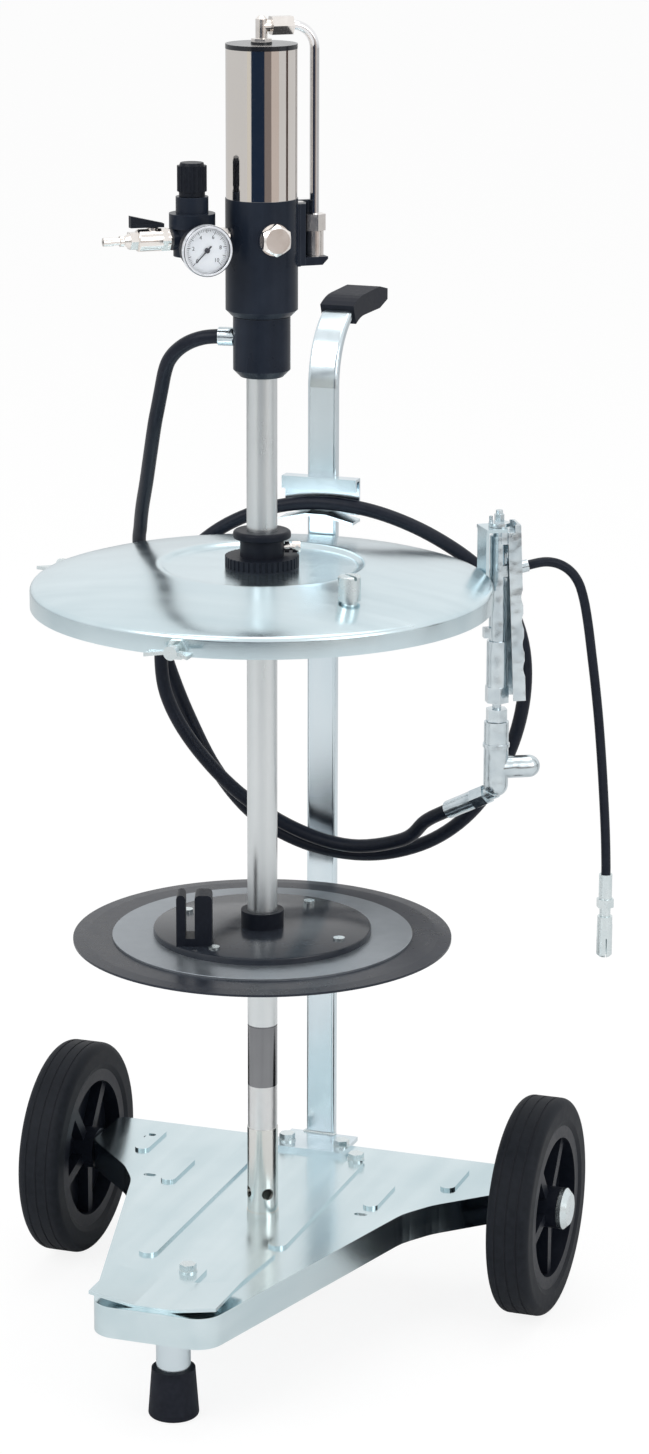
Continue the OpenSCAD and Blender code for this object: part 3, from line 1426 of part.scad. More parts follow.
// Hoses and their fittings
module supply_hose() color("#26262a") hose(hose_route, hose_rings, hose_d, hose_sides);
module whip_hose() color("#26262a") at_gun()
    hose([for (p = whip_route) [p.x, 0, p.y]], whip_rings, whip_d, whip_sides);
module hose_fittings() color(zinc) {
    at_axis() outward(outlet_az, port_z) difference() {
        union() {
            rod(port_thread_r, outlet_r - port_thread_l + clear, outlet_r + over);
            rod(outlet_fitting_r, outlet_r, outlet_r + outlet_fitting_l);
        }
        rod(port_r, 0, outlet_r + outlet_fitting_l);
        rod(hose_d / 2 + hose_fit, outlet_r + outlet_fitting_l - outlet_socket,
            outlet_r + outlet_fitting_l + over);
    }
    hose_way() difference() {
        d1 = swivel_boss_l + hose_nut_l;
        union() {
            hex(hose_nut_af, swivel_boss_l, d1);
            rod(hose_ferrule_r, d1 - over, d1 + hose_ferrule_l);
        }
        rod(port_r, 0, d1 + hose_ferrule_l);
        rod(hose_d / 2 + hose_fit, d1 + hose_ferrule_l - hose_socket, d1 + hose_ferrule_l + over);
    }
}
module swivel_body() color(zinc) difference() {
    top = -swivel_nut_bottom - swivel_gap;
    union() {
        at_gun() {
            rod(swivel_r, top - swivel_l, top);
            translate([0, 0, top - swivel_l]) sphere(r = swivel_r);
            rod(swivel_r + swivel_ring_over, top - swivel_ring_up - swivel_ring_h, top - swivel_ring_up);
            translate([0, 0, -swivel_nut_bottom - swivel_stub_down]) rotate([0, 90, 0]) {
                rod(swivel_stub_r, 0, swivel_stub_u);
                translate([0, 0, swivel_stub_u]) sphere(r = swivel_stub_r);
            }
        }
        hose_way() rod(swivel_boss_r, 0, swivel_boss_l);
    }
    at_gun() rod(swivel_spigot_r + slip, top - swivel_spigot_l - over, top + over);
    hose_way() rod(port_r, 0, swivel_boss_l + over);
}

// Gun
module gun_body() color("#9a9da2") at_gun() difference() {
    union() {
        rod(gun_flange_r, easy, easy + gun_flange_t);
        hex(gun_nut_af, easy + gun_flange_t, easy + gun_flange_t + gun_nut_h);
        rod(gun_cap_r, easy + gun_flange_t + gun_nut_h - over, easy + gun_flange_t + gun_nut_h + gun_cap_h);
        translate([-gun_pin_out, 0, 0])
            rod(gun_pin_r, easy + gun_flange_t - over, easy + gun_flange_t + gun_pin_h);
        rod(gun_neck_r, -gun_neck_l - over, easy + over);
        rotate([0, 0, 45]) rod(gun_r, -gun_bottom, -gun_neck_l);
        block(0, lug_u, -lug_half, lug_half, -lug_bottom, -lug_top);
        block(-spur_u, 0, -spur_half, spur_half, -gun_bottom + spur_up, -gun_bottom + spur_up + spur_h);
        translate([0, 0, -outlet_down]) rotate([0, 90, 0])
            rotate([0, 0, 30]) hex(gun_outlet_af, 0, gun_outlet_u);
        translate([gun_outlet_u, 0, -outlet_down + over]) rotate([0, 90 - ferrule_rise, 0])
            rod(ferrule_r, -2 * over, ferrule_l);
        rod(handle_r, -handle_bottom, -gun_bottom);
        hex(grip_nut_af, -grip_nut_bottom, -handle_bottom);
        rod(gun_waist_r, -swivel_nut_bottom - over, -gun_neck_l);
        hex(swivel_nut_af, -swivel_nut_bottom, -swivel_nut_bottom + swivel_nut_l);
        rod(swivel_spigot_r, -swivel_nut_bottom - swivel_spigot_l, -swivel_nut_bottom);
    }
    translate([pivot_u, 0, -pivot_down]) rotate([90, 0, 0])
        rod(pivot_r + seat, -lug_half - over, lug_half + over);
    translate([0, 0, -stem_down]) rotate([0, 90, 0])
        rod(stem_valve_r + slip, stem_inner_u - over, gun_r + over);
    rod(gun_bore, -swivel_nut_bottom - swivel_spigot_l - over, -stem_down);
    translate([0, 0, -outlet_down]) rotate([0, 90, 0]) rod(gun_bore - easy, 0, gun_outlet_u);
    translate([gun_outlet_u, 0, -outlet_down + over]) rotate([0, 90 - ferrule_rise, 0])
        rod(whip_d / 2 + hose_fit, ferrule_l - ferrule_bore_l, ferrule_l + over);
}

// Trigger: a folded channel whose outer face leans out towards its lower end
function trigger_u(down) = trigger_top_u + (trigger_bottom_u - trigger_top_u)
    * (down + trigger_up) / (trigger_l + trigger_up);
function trigger_outer() = concat(
    [[trigger_u(-trigger_up + pivot_down), trigger_up - pivot_down]],
    [for (i = [0 : groove_n - 1], k = [0 : groove_steps])
        let (down = groove_first + i * groove_pitch + groove_half * (2 * k / groove_steps - 1))
        [trigger_u(down) - groove_d * sin(180 * k / groove_steps), -down]],
    [[trigger_u(trigger_l + pivot_down), -trigger_l - pivot_down]]);
module trigger() color("#a7aaae") at_gun() difference() {
    top = trigger_up - pivot_down;
    bottom = -trigger_l - pivot_down;
    top_u = trigger_u(-top);
    low_u = trigger_u(-bottom);
    inner = trigger_half - trigger_t;
    rotate([90, 0, 0]) translate([0, 0, -trigger_half]) linear_extrude(2 * trigger_half)
        polygon(concat(trigger_outer(), [[low_u - trigger_depth, bottom],
            [top_u - trigger_depth, -lug_bottom], [top_u - trigger_depth, -trigger_shoulder_down],
            [trigger_shoulder_u, -trigger_shoulder_down], [trigger_shoulder_u, top]]));
    rotate([90, 0, 0]) translate([0, 0, -inner]) linear_extrude(2 * inner)
        polygon([[top_u - trigger_t, top + over], [low_u - trigger_t - groove_d, bottom - over],
            [low_u - trigger_depth - 2 * over, bottom - over],
            [top_u - trigger_depth - 2 * over, top + over]]);
    block(0, trigger_bottom_u + over, -inner, inner, -trigger_open_bottom, -trigger_open_top);
    translate([pivot_u, 0, -pivot_down]) rotate([90, 0, 0])
        rod(pivot_r + slip, -trigger_half - over, trigger_half + over);
}
module trigger_pin() color(chrome) at_gun() translate([pivot_u, 0, -pivot_down]) rotate([90, 0, 0]) {
    rod(pivot_r, -trigger_half - easy - pin_head / 2, trigger_half + easy + pin_head / 2);
    for (side = [0, 180]) rotate([side, 0, 0])
        rod(pin_head_r, trigger_half + easy, trigger_half + easy + pin_head);
}
module valve_stem() color(chrome) at_gun() translate([0, 0, -stem_down]) rotate([0, 90, 0])
    rod(stem_valve_r, stem_inner_u,
        trigger_u(stem_down) - trigger_t - groove_d * stem_down / (trigger_l + pivot_down) - easy);

// Coupler on the whip hose, mouth downwards
module whip_coupler() color(nickel) at_gun() translate([coupler_u, 0, -coupler_top]) difference() {
    z1 = -coupler_sleeve_l;
    z2 = z1 - coupler_hex_l;
    z3 = z2 - coupler_neck_l;
    z4 = z3 - coupler_knurl_l;
    z5 = z4 - coupler_jaw_l;
    union() {
        rod(coupler_sleeve_r, z1 - over, 0);
        hex(coupler_hex_af, z2, z1);
        rod(coupler_neck_r, z3, z2);
        rod(coupler_knurl_r, z4, z3);
        rod(coupler_jaw_r, z5 + coupler_round, z4);
        cone(coupler_jaw_r - coupler_round, coupler_jaw_r, z5, z5 + coupler_round);
    }
    rod(whip_d / 2 + hose_fit, -coupler_socket, over);
    rod(coupler_bore, z5 - over, z5 + coupler_bore_l);
    rod(air_bore / 2, z5, -coupler_socket);
    for (turn = [0, 90]) rotate([0, 0, turn])
        block(-coupler_jaw_r - over, coupler_jaw_r + over, -coupler_slot_w / 2, coupler_slot_w / 2,
            z5 - over, z5 + coupler_slot_l);
}

deck();
nose_saddle();
trolley_fasteners();
front_leg();
foot_tip();
axle();
wheel_bushes();
left_tyre();
right_tyre();
left_rim();
right_rim();
post();
handle_grip();
hose_hanger();
suction_tube();
lower_cylinder();
valve_sleeve();
foot_valve();
check_valve();
outlet_body();
motor_body();
motor_cylinder();
cylinder_cap();
rod_seals();
air_piston();
pump_rod();
priming_plunger();
body_plugs();
valve_block();
spool();
transfer_tube();
tube_fittings();
air_nipple();
ball_valve_body();
valve_lever();
regulator_body();
regulator_knob();
gauge_case();
gauge_dial();
gauge_needle();
gauge_glass();
drum_lid();
bung_adapter();
adapter_screw();
lid_fasteners();
bung_plug();
gun_holder();
follower_rubber();
follower_disc();
follower_hub();
follower_screws();
supply_hose();
hose_fittings();
swivel_body();
gun_body();
trigger();
trigger_pin();
valve_stem();
whip_hose();
whip_coupler();
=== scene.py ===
"""Looks of an air driven grease pump on a drum trolley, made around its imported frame.

Sizes are in millimetres and degrees. The studio's are in metres, except for the camera's place.
"""

import logging
import math
from collections.abc import Iterable, Sequence
from dataclasses import dataclass, field
from enum import Enum

import bmesh
import bpy
from mathutils import Matrix, Vector


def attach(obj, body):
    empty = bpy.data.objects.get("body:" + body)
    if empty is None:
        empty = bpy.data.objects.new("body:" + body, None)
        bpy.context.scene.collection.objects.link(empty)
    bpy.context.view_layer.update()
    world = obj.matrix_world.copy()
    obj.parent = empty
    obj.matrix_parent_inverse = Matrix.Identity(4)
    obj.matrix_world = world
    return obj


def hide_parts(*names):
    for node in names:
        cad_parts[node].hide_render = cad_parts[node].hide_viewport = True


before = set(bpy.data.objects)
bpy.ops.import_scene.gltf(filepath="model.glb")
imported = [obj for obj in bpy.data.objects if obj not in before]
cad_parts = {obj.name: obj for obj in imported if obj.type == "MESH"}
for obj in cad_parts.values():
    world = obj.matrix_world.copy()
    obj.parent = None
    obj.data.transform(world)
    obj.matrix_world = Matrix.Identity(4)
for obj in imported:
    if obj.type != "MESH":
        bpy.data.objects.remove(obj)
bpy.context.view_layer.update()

log = logging.getLogger("grease_pump")
MM = 0.001
# Points closer than this many metres are one, and steeper edges than these stay sharp or get rounded
SAME_PLACE = 1e-7
SHARP_EDGE = math.radians(32.0)
ROUNDED_EDGE = 0.6
WHITE = (1.0, 1.0, 1.0, 1.0)
Colour = tuple[float, float, float]
Point = tuple[float, float, float]
Pair = tuple[float, float]
Socket = bpy.types.NodeSocket


class Grain(Enum):
    """Which way the fine lines of a finish run, as the share of the scale along X, Y and Z."""

    NONE = (1.0, 1.0, 1.0)
    UPRIGHT = (1.0, 1.0, 0.03)
    LEVEL = (0.12, 1.0, 1.0)
    ALONG_DECK = (1.0, 0.08, 1.0)


class Body(Enum):
    """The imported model's rigid bodies that carry pieces made here."""

    TROLLEY = "trolley"
    FOLLOWER = "follower"
    GUN = "gun"


@dataclass
class NodePen:
    """Adds and joins the nodes of one material or geometry tree."""

    tree: bpy.types.NodeTree

    def add(self, kind: str, **inputs: float | Colour) -> bpy.types.Node:
        """Adds a node.

        Args:
            kind: The node's type name.
            **inputs: Socket values by name, with _ for a space.

        Returns:
            The new node.
        """
        node = self.tree.nodes.new(kind)
        for name, value in inputs.items():
            node.inputs[name.replace("_", " ")].default_value = value
        return node

    def join(self, start: Socket, end: Socket) -> None:
        """Links an output to an input."""
        self.tree.links.new(start, end)

    def noise(self, place: Socket, scale: float, detail: float) -> Socket:
        """Adds a noise texture.

        Args:
            place: The vector that it reads.
            scale: Features in a metre.
            detail: Octaves.

        Returns:
            Its value.
        """
        node = self.add("ShaderNodeTexNoise", Scale=scale, Detail=detail)
        self.join(place, node.inputs["Vector"])
        return node.outputs["Fac"]

    def blend_value(self, first: Socket, second: Socket, share: float) -> Socket:
        """Blends two values.

        Args:
            first: The value at share 0.
            second: The value at share 1.
            share: The part of the second.

        Returns:
            The blended value.
        """
        node = self.add("ShaderNodeMix", Factor=share)
        self.join(first, node.inputs[2])
        self.join(second, node.inputs[3])
        return node.outputs[0]

    def mix(self, share: Socket, first: Colour | Socket, second: Colour) -> Socket:
        """Mixes two colours, steeply around the middle of the share.

        Args:
            share: The value that chooses.
            first: Colour or socket at low values.
            second: Colour at high values.

        Returns:
            The mixed colour.
        """
        node = self.add("ShaderNodeMix")
        node.data_type = "RGBA"
        steep = self.add("ShaderNodeMapRange", From_Min=0.3, From_Max=0.7)
        self.join(share, steep.inputs["Value"])
        self.join(steep.outputs["Result"], node.inputs["Factor"])
        if isinstance(first, tuple):
            node.inputs[6].default_value = (*first, 1.0)
        else:
            self.join(first, node.inputs[6])
        node.inputs[7].default_value = (*second, 1.0)
        return node.outputs[2]

    def spread(self, value: Socket, low: float, high: float) -> Socket:
        """Maps a noise value to a range.

        Args:
            value: The noise.
            low: The least result.
            high: The greatest result.

        Returns:
            The mapped value.
        """
        least = max(low, 0.02)
        node = self.add("ShaderNodeMapRange", From_Min=0.25, From_Max=0.75, To_Min=least, To_Max=high)
        self.join(value, node.inputs["Value"])
        return node.outputs["Result"]

    def bump(self, height: Socket, strength: float, distance: float, under: Socket | None) -> Socket:
        """Adds a bump.

        Args:
            height: The height value.
            strength: How much of it shows.
            distance: Its height in metres.
            under: A bump that it lies on.

        Returns:
            The bent normal.
        """
        node = self.add("ShaderNodeBump", Strength=strength, Distance=distance)
        self.join(height, node.inputs["Height"])
        if under is not None:
            self.join(under, node.inputs["Normal"])
        return node.outputs["Normal"]

    def edge_highlight_mask(self, reach: float) -> Socket:
        """Finds edges for a painted highlight, standing for light caught on rounded edges as well as wear, by
        comparing the rounded normal with the true one.

        Args:
            reach: How far from an edge it reaches, in metres.

        Returns:
            A value that is high along edges.
        """
        round_normal = self.add("ShaderNodeBevel", Radius=reach)
        round_normal.samples = 4
        flat = self.add("ShaderNodeNewGeometry")
        dot = self.add("ShaderNodeVectorMath")
        dot.operation = "DOT_PRODUCT"
        self.join(round_normal.outputs["Normal"], dot.inputs[0])
        self.join(flat.outputs["Normal"], dot.inputs[1])
        turned = self.add("ShaderNodeMapRange", From_Min=1.0, From_Max=0.8)
        self.join(dot.outputs["Value"], turned.inputs["Value"])
        return turned.outputs["Result"]


def blank_material(name: str) -> tuple[bpy.types.Material, NodePen, bpy.types.Node]:
    """Makes a material with nothing but Blender's usual shader.

    Args:
        name: The material's name.

    Returns:
        The material, a pen for its nodes and the shader.
    """
    made = bpy.data.materials.new(name)
    made.use_nodes = True
    return made, NodePen(made.node_tree), made.node_tree.nodes["Principled BSDF"]


def placed(name: str, data: bpy.types.ID) -> bpy.types.Object:
    """Makes an object and links it to the scene.

    Args:
        name: The object's name.
        data: Its mesh, curve, lamp or camera.

    Returns:
        The object.
    """
    made = bpy.data.objects.new(name, data)
    bpy.context.scene.collection.objects.link(made)
    return made


def baked(base: bpy.types.Object) -> bpy.types.Mesh:
    """Turns an object with all that is on it into a plain mesh, and removes the object.

    Args:
        base: The object, a curve or text too.

    Returns:
        The mesh.
    """
    bpy.context.view_layer.update()
    graph = bpy.context.evaluated_depsgraph_get()
    made = bpy.data.meshes.new_from_object(base.evaluated_get(graph), depsgraph=graph)
    base.modifiers.clear()
    bpy.data.objects.remove(base)
    return made


def straight_line(name: str, corners: Iterable[Vector]) -> bpy.types.Object:
    """Makes a curve of straight runs.

    Args:
        name: Its name.
        corners: Its corners in metres.

    Returns:
        The curve's object.
    """
    line = bpy.data.curves.new(name, "CURVE")
    line.dimensions = "3D"
    spline = line.splines.new("POLY")
    corners = list(corners)
    spline.points.add(len(corners) - 1)
    for at, corner in zip(spline.points, corners):
        at.co = (*corner, 1.0)
    return placed(name, line)


@dataclass(frozen=True)
class Finish:
    """One surface finish, made of nodes that read Object coordinates."""

    name: str
    colour: Colour
    second: Colour
    metallic: float = 0.0
    roughness: float = 0.5
    spread: float = 0.08
    cloud_scale: float = 14.0
    grain_scale: float = 700.0
    grain: Grain = Grain.NONE
    depth: float = 0.1
    wave: float = 0.0
    wave_scale: float = 9.0
    # Painted highlight colour along edges, standing for light that edges catch as well as wear
    edge: Colour | None = None
    specular: float = 0.5
    broad_share: float = 0.16
    broad_weight: float = 0.45
    edge_reach: float = 0.7 * MM
    fine_height: float = 0.2 * MM
    wave_height: float = 4.0 * MM

    def material(self) -> bpy.types.Material:
        """Builds the material once and gives the same one after that.

        Returns:
            The finish's material.
        """
        name = f"finish_{self.name}"
        found = bpy.data.materials.get(name)
        if found is not None:
            return found
        made, pen, shader = blank_material(name)
        shader.inputs["Metallic"].default_value = self.metallic
        shader.inputs["Specular IOR Level"].default_value = self.specular
        place = pen.add("ShaderNodeTexCoord").outputs["Object"]
        cloud = pen.noise(place, self.cloud_scale, 4.0)
        lined = pen.add("ShaderNodeMapping", Scale=self.grain.value)
        pen.join(place, lined.inputs["Vector"])
        fine = pen.noise(lined.outputs["Vector"], self.grain_scale, 3.0)
        broad = pen.noise(lined.outputs["Vector"], self.grain_scale * self.broad_share, 2.0)
        tone = pen.blend_value(cloud, broad, self.broad_weight)
        colour = pen.mix(tone, self.colour, self.second)
        # Painted highlight: edges are lightened towards the edge colour, for light caught there as well as
        # wear
        if self.edge is not None:
            colour = pen.mix(pen.edge_highlight_mask(self.edge_reach), colour, self.edge)
        pen.join(colour, shader.inputs["Base Color"])
        rough = pen.spread(tone, self.roughness - self.spread, self.roughness + self.spread)
        pen.join(rough, shader.inputs["Roughness"])
        bump = pen.bump(fine, self.depth, self.fine_height, None)
        if self.wave > 0:
            swell = pen.noise(place, self.wave_scale, 1.0)
            bump = pen.bump(swell, self.wave, self.wave_height, bump)
        pen.join(bump, shader.inputs["Normal"])
        return made


ZINC = Finish(
    "zinc_plate", (0.54, 0.66, 0.71), (0.68, 0.79, 0.83), metallic=1.0, roughness=0.22, spread=0.07,
    cloud_scale=9, grain_scale=300, grain=Grain.LEVEL, wave=0.06,
)
ZINC_DECK = Finish(
    "zinc_deck", (0.52, 0.64, 0.68), (0.70, 0.80, 0.83), metallic=1.0, roughness=0.2, cloud_scale=8,
    grain_scale=260, grain=Grain.ALONG_DECK, depth=0.12, wave=0.09,
)
ZINC_POST = Finish(
    "zinc_post", (0.58, 0.67, 0.72), (0.72, 0.80, 0.84), metallic=1.0, roughness=0.2, spread=0.06,
    cloud_scale=10, grain_scale=420, grain=Grain.UPRIGHT, depth=0.08, wave=0.06,
)
BOLT_ZINC = Finish(
    "bolt_zinc", (0.62, 0.70, 0.72), (0.72, 0.78, 0.79), metallic=1.0, roughness=0.26, cloud_scale=60,
    grain_scale=900, depth=0.15,
)
MIRROR = Finish(
    "mirror_nickel", (0.90, 0.85, 0.80), (0.93, 0.89, 0.85), metallic=1.0, roughness=0.06, spread=0.02,
    cloud_scale=16, grain_scale=500, grain=Grain.UPRIGHT, depth=0.02,
)
NICKEL = Finish(
    "nickel_plate", (0.80, 0.76, 0.72), (0.88, 0.84, 0.81), metallic=1.0, roughness=0.18, spread=0.06,
    cloud_scale=70, grain_scale=900, depth=0.12,
)
CHROME = Finish(
    "chrome", (0.80, 0.80, 0.81), (0.86, 0.86, 0.87), metallic=1.0, roughness=0.07, spread=0.03,
    cloud_scale=40, grain_scale=600, depth=0.04,
)
TUBE = Finish(
    "drawn_tube", (0.62, 0.66, 0.67), (0.71, 0.74, 0.75), metallic=1.0, roughness=0.3, spread=0.07,
    cloud_scale=12, grain_scale=800, grain=Grain.UPRIGHT, depth=0.25,
)
DARK_TUBE = Finish(
    "dark_steel", (0.17, 0.175, 0.185), (0.26, 0.265, 0.275), metallic=1.0, roughness=0.16, spread=0.05,
    cloud_scale=20, grain_scale=800, grain=Grain.UPRIGHT, depth=0.2,
)
PALE_SLEEVE = Finish(
    "pale_sleeve", (0.66, 0.67, 0.67), (0.74, 0.75, 0.75), metallic=0.85, roughness=0.34, spread=0.06,
    cloud_scale=20, depth=0.15,
)
FOOT_STEEL = Finish(
    "foot_steel", (0.62, 0.63, 0.60), (0.72, 0.72, 0.70), metallic=1.0, roughness=0.2, spread=0.06,
    cloud_scale=24, grain=Grain.UPRIGHT, depth=0.15,
)
# The gun's edge colour is a painted highlight: near-white edges for light caught on them as well as wear
GUN_STEEL = Finish(
    "gun_steel", (0.46, 0.53, 0.57), (0.70, 0.77, 0.80), metallic=1.0, roughness=0.2, spread=0.06,
    cloud_scale=45, depth=0.2, wave=0.3, wave_scale=70.0, edge=(0.88, 0.92, 0.95),
)
# The edge colour is a painted highlight: edges lighter than the black body, for light caught on chamfers as
# well as wear
BLACK_METAL = Finish(
    "black_anodised", (0.007, 0.011, 0.020), (0.019, 0.026, 0.041), roughness=0.3, spread=0.07,
    cloud_scale=30, grain_scale=420, grain=Grain.UPRIGHT, edge=(0.05, 0.06, 0.08), specular=0.16,
)
BLACK_PLATE = Finish(
    "black_plate", (0.020, 0.025, 0.035), (0.036, 0.042, 0.054), roughness=0.2, spread=0.06,
    cloud_scale=18, grain_scale=500, depth=0.06, specular=0.3,
)
CAP_BLACK = Finish(
    "cap_black", (0.008, 0.009, 0.013), (0.014, 0.016, 0.020), roughness=0.16, spread=0.05,
    cloud_scale=30, depth=0.08, specular=0.55,
)
# The edge colour is a painted highlight: slightly lighter edges, for light caught on them as well as wear
BLACK_PLASTIC = Finish(
    "black_plastic", (0.006, 0.008, 0.014), (0.012, 0.015, 0.023), roughness=0.42, cloud_scale=30,
    grain_scale=1400, depth=0.07, edge=(0.022, 0.026, 0.034), specular=0.15,
)
KNOB_PLASTIC = Finish(
    "knob_plastic", (0.007, 0.009, 0.014), (0.014, 0.017, 0.024), roughness=0.36, cloud_scale=50,
    grain_scale=1600, depth=0.08, specular=0.12,
)
# The edge colour is a painted highlight: slightly lighter tyre edges, for light caught on them as well as
# wear
TYRE_RUBBER = Finish(
    "tyre_rubber", (0.008, 0.010, 0.014), (0.018, 0.021, 0.027), roughness=0.58, spread=0.1,
    cloud_scale=22, grain_scale=1100, depth=0.12, edge=(0.026, 0.028, 0.034), specular=0.12,
)
WIPER_RUBBER = Finish(
    "wiper_rubber", (0.010, 0.014, 0.024), (0.026, 0.032, 0.046), roughness=0.3, cloud_scale=12,
    grain_scale=900, depth=0.08, specular=0.25,
)
SOFT_RUBBER = Finish(
    "soft_rubber", (0.008, 0.010, 0.016), (0.018, 0.021, 0.030), roughness=0.55, spread=0.1,
    cloud_scale=40, grain_scale=1500, depth=0.15, specular=0.12,
)
HOSE_RUBBER = Finish(
    "hose_rubber", (0.007, 0.010, 0.018), (0.014, 0.018, 0.029), roughness=0.36, cloud_scale=30,
    grain_scale=1500, specular=0.15,
)
DIAL_WHITE = Finish(
    "dial_white", (0.90, 0.93, 0.97), (0.95, 0.97, 0.99), spread=0.05, cloud_scale=90, grain_scale=900,
    depth=0.03,
)
DIAL_INK = Finish(
    "dial_ink", (0.02, 0.02, 0.03), (0.03, 0.03, 0.04), spread=0.05, cloud_scale=200, grain_scale=900,
    depth=0.02,
)
BEZEL = Finish(
    "bezel_plate", (0.78, 0.82, 0.88), (0.86, 0.89, 0.93), metallic=0.55, roughness=0.3, spread=0.06,
    cloud_scale=60, grain_scale=800,
)
RING_STEEL = Finish(
    "ring_steel", (0.26, 0.29, 0.32), (0.36, 0.39, 0.42), metallic=0.75, roughness=0.36, cloud_scale=30,
    grain_scale=600, depth=0.25,
)
HIDDEN_STEEL = Finish(
    "plain_steel", (0.5, 0.5, 0.5), (0.6, 0.6, 0.6), metallic=1.0, roughness=0.3, spread=0.06,
    cloud_scale=40, depth=0.15,
)


@dataclass(frozen=True)
class Window:
    """The clear window of the gauge."""

    tint: Colour = (0.98, 0.99, 1.0)
    index: float = 1.12
    haze_scale: float = 120.0
    haze: Pair = (0.01, 0.05)

    def material(self) -> bpy.types.Material:
        """Builds the clear plastic.

        Returns:
            The material.
        """
        made, pen, shader = blank_material("gauge_window")
        shader.inputs["Transmission Weight"].default_value = 1.0
        shader.inputs["IOR"].default_value = self.index
        shader.inputs["Base Color"].default_value = (*self.tint, 1.0)
        place = pen.add("ShaderNodeTexCoord").outputs["Object"]
        haze = pen.noise(place, self.haze_scale, 3.0)
        pen.join(pen.spread(haze, *self.haze), shader.inputs["Roughness"])
        return made


@dataclass
class GrowTree:
    """A Geometry Nodes tree with named inputs, ending in Realize Instances and Set Material."""

    name: str
    sizes: dict[str, float]
    tree: bpy.types.NodeTree = field(init=False)
    pen: NodePen = field(init=False)
    entry: bpy.types.Node = field(init=False)
    keys: dict[str, str] = field(init=False, default_factory=dict)

    def __post_init__(self) -> None:
        """Makes the empty tree with its input sockets."""
        self.tree = bpy.data.node_groups.new(self.name, "GeometryNodeTree")
        face = self.tree.interface
        face.new_socket(name="Geometry", in_out="INPUT", socket_type="NodeSocketGeometry")
        face.new_socket(name="Geometry", in_out="OUTPUT", socket_type="NodeSocketGeometry")
        for key, value in self.sizes.items():
            kind = "NodeSocketInt" if isinstance(value, int) else "NodeSocketFloat"
            socket = face.new_socket(name=key, in_out="INPUT", socket_type=kind)
            socket.default_value = value
            self.keys[key] = socket.identifier
        self.pen = NodePen(self.tree)
        self.entry = self.tree.nodes.new("NodeGroupInput")

    def size(self, key: str) -> Socket:
        """Gives the output of a named input."""
        return self.entry.outputs[key]

    def close(self, result: Socket, finish: Finish, smooth: bool = True) -> None:
        """Ends the tree.

        Args:
            result: The geometry so far.
            finish: What it is dressed in.
            smooth: Whether its faces are smooth.
        """
        real = self.pen.add("GeometryNodeRealizeInstances")
        shade = self.pen.add("GeometryNodeSetShadeSmooth", Shade_Smooth=smooth)
        dress = self.pen.add("GeometryNodeSetMaterial", Material=finish.material())
        end = self.tree.nodes.new("NodeGroupOutput")
        self.pen.join(result, real.inputs[0])
        self.pen.join(real.outputs[0], shade.inputs[0])
        self.pen.join(shade.outputs[0], dress.inputs[0])
        self.pen.join(dress.outputs[0], end.inputs[0])

    def grow(self, base: bpy.types.Object | None, **values: float) -> bpy.types.Mesh:
        """Runs the tree and keeps its result as a plain mesh.

        Args:
            base: The object that the tree starts from, or None for an empty one.
            **values: Input values by name.

        Returns:
            The mesh.
        """
        if base is None:
            base = placed("seed", bpy.data.meshes.new("seed"))
        modifier = base.modifiers.new("grow", "NODES")
        modifier.node_group = self.tree
        for key, value in values.items():
            modifier[self.keys[key]] = value
        return baked(base)


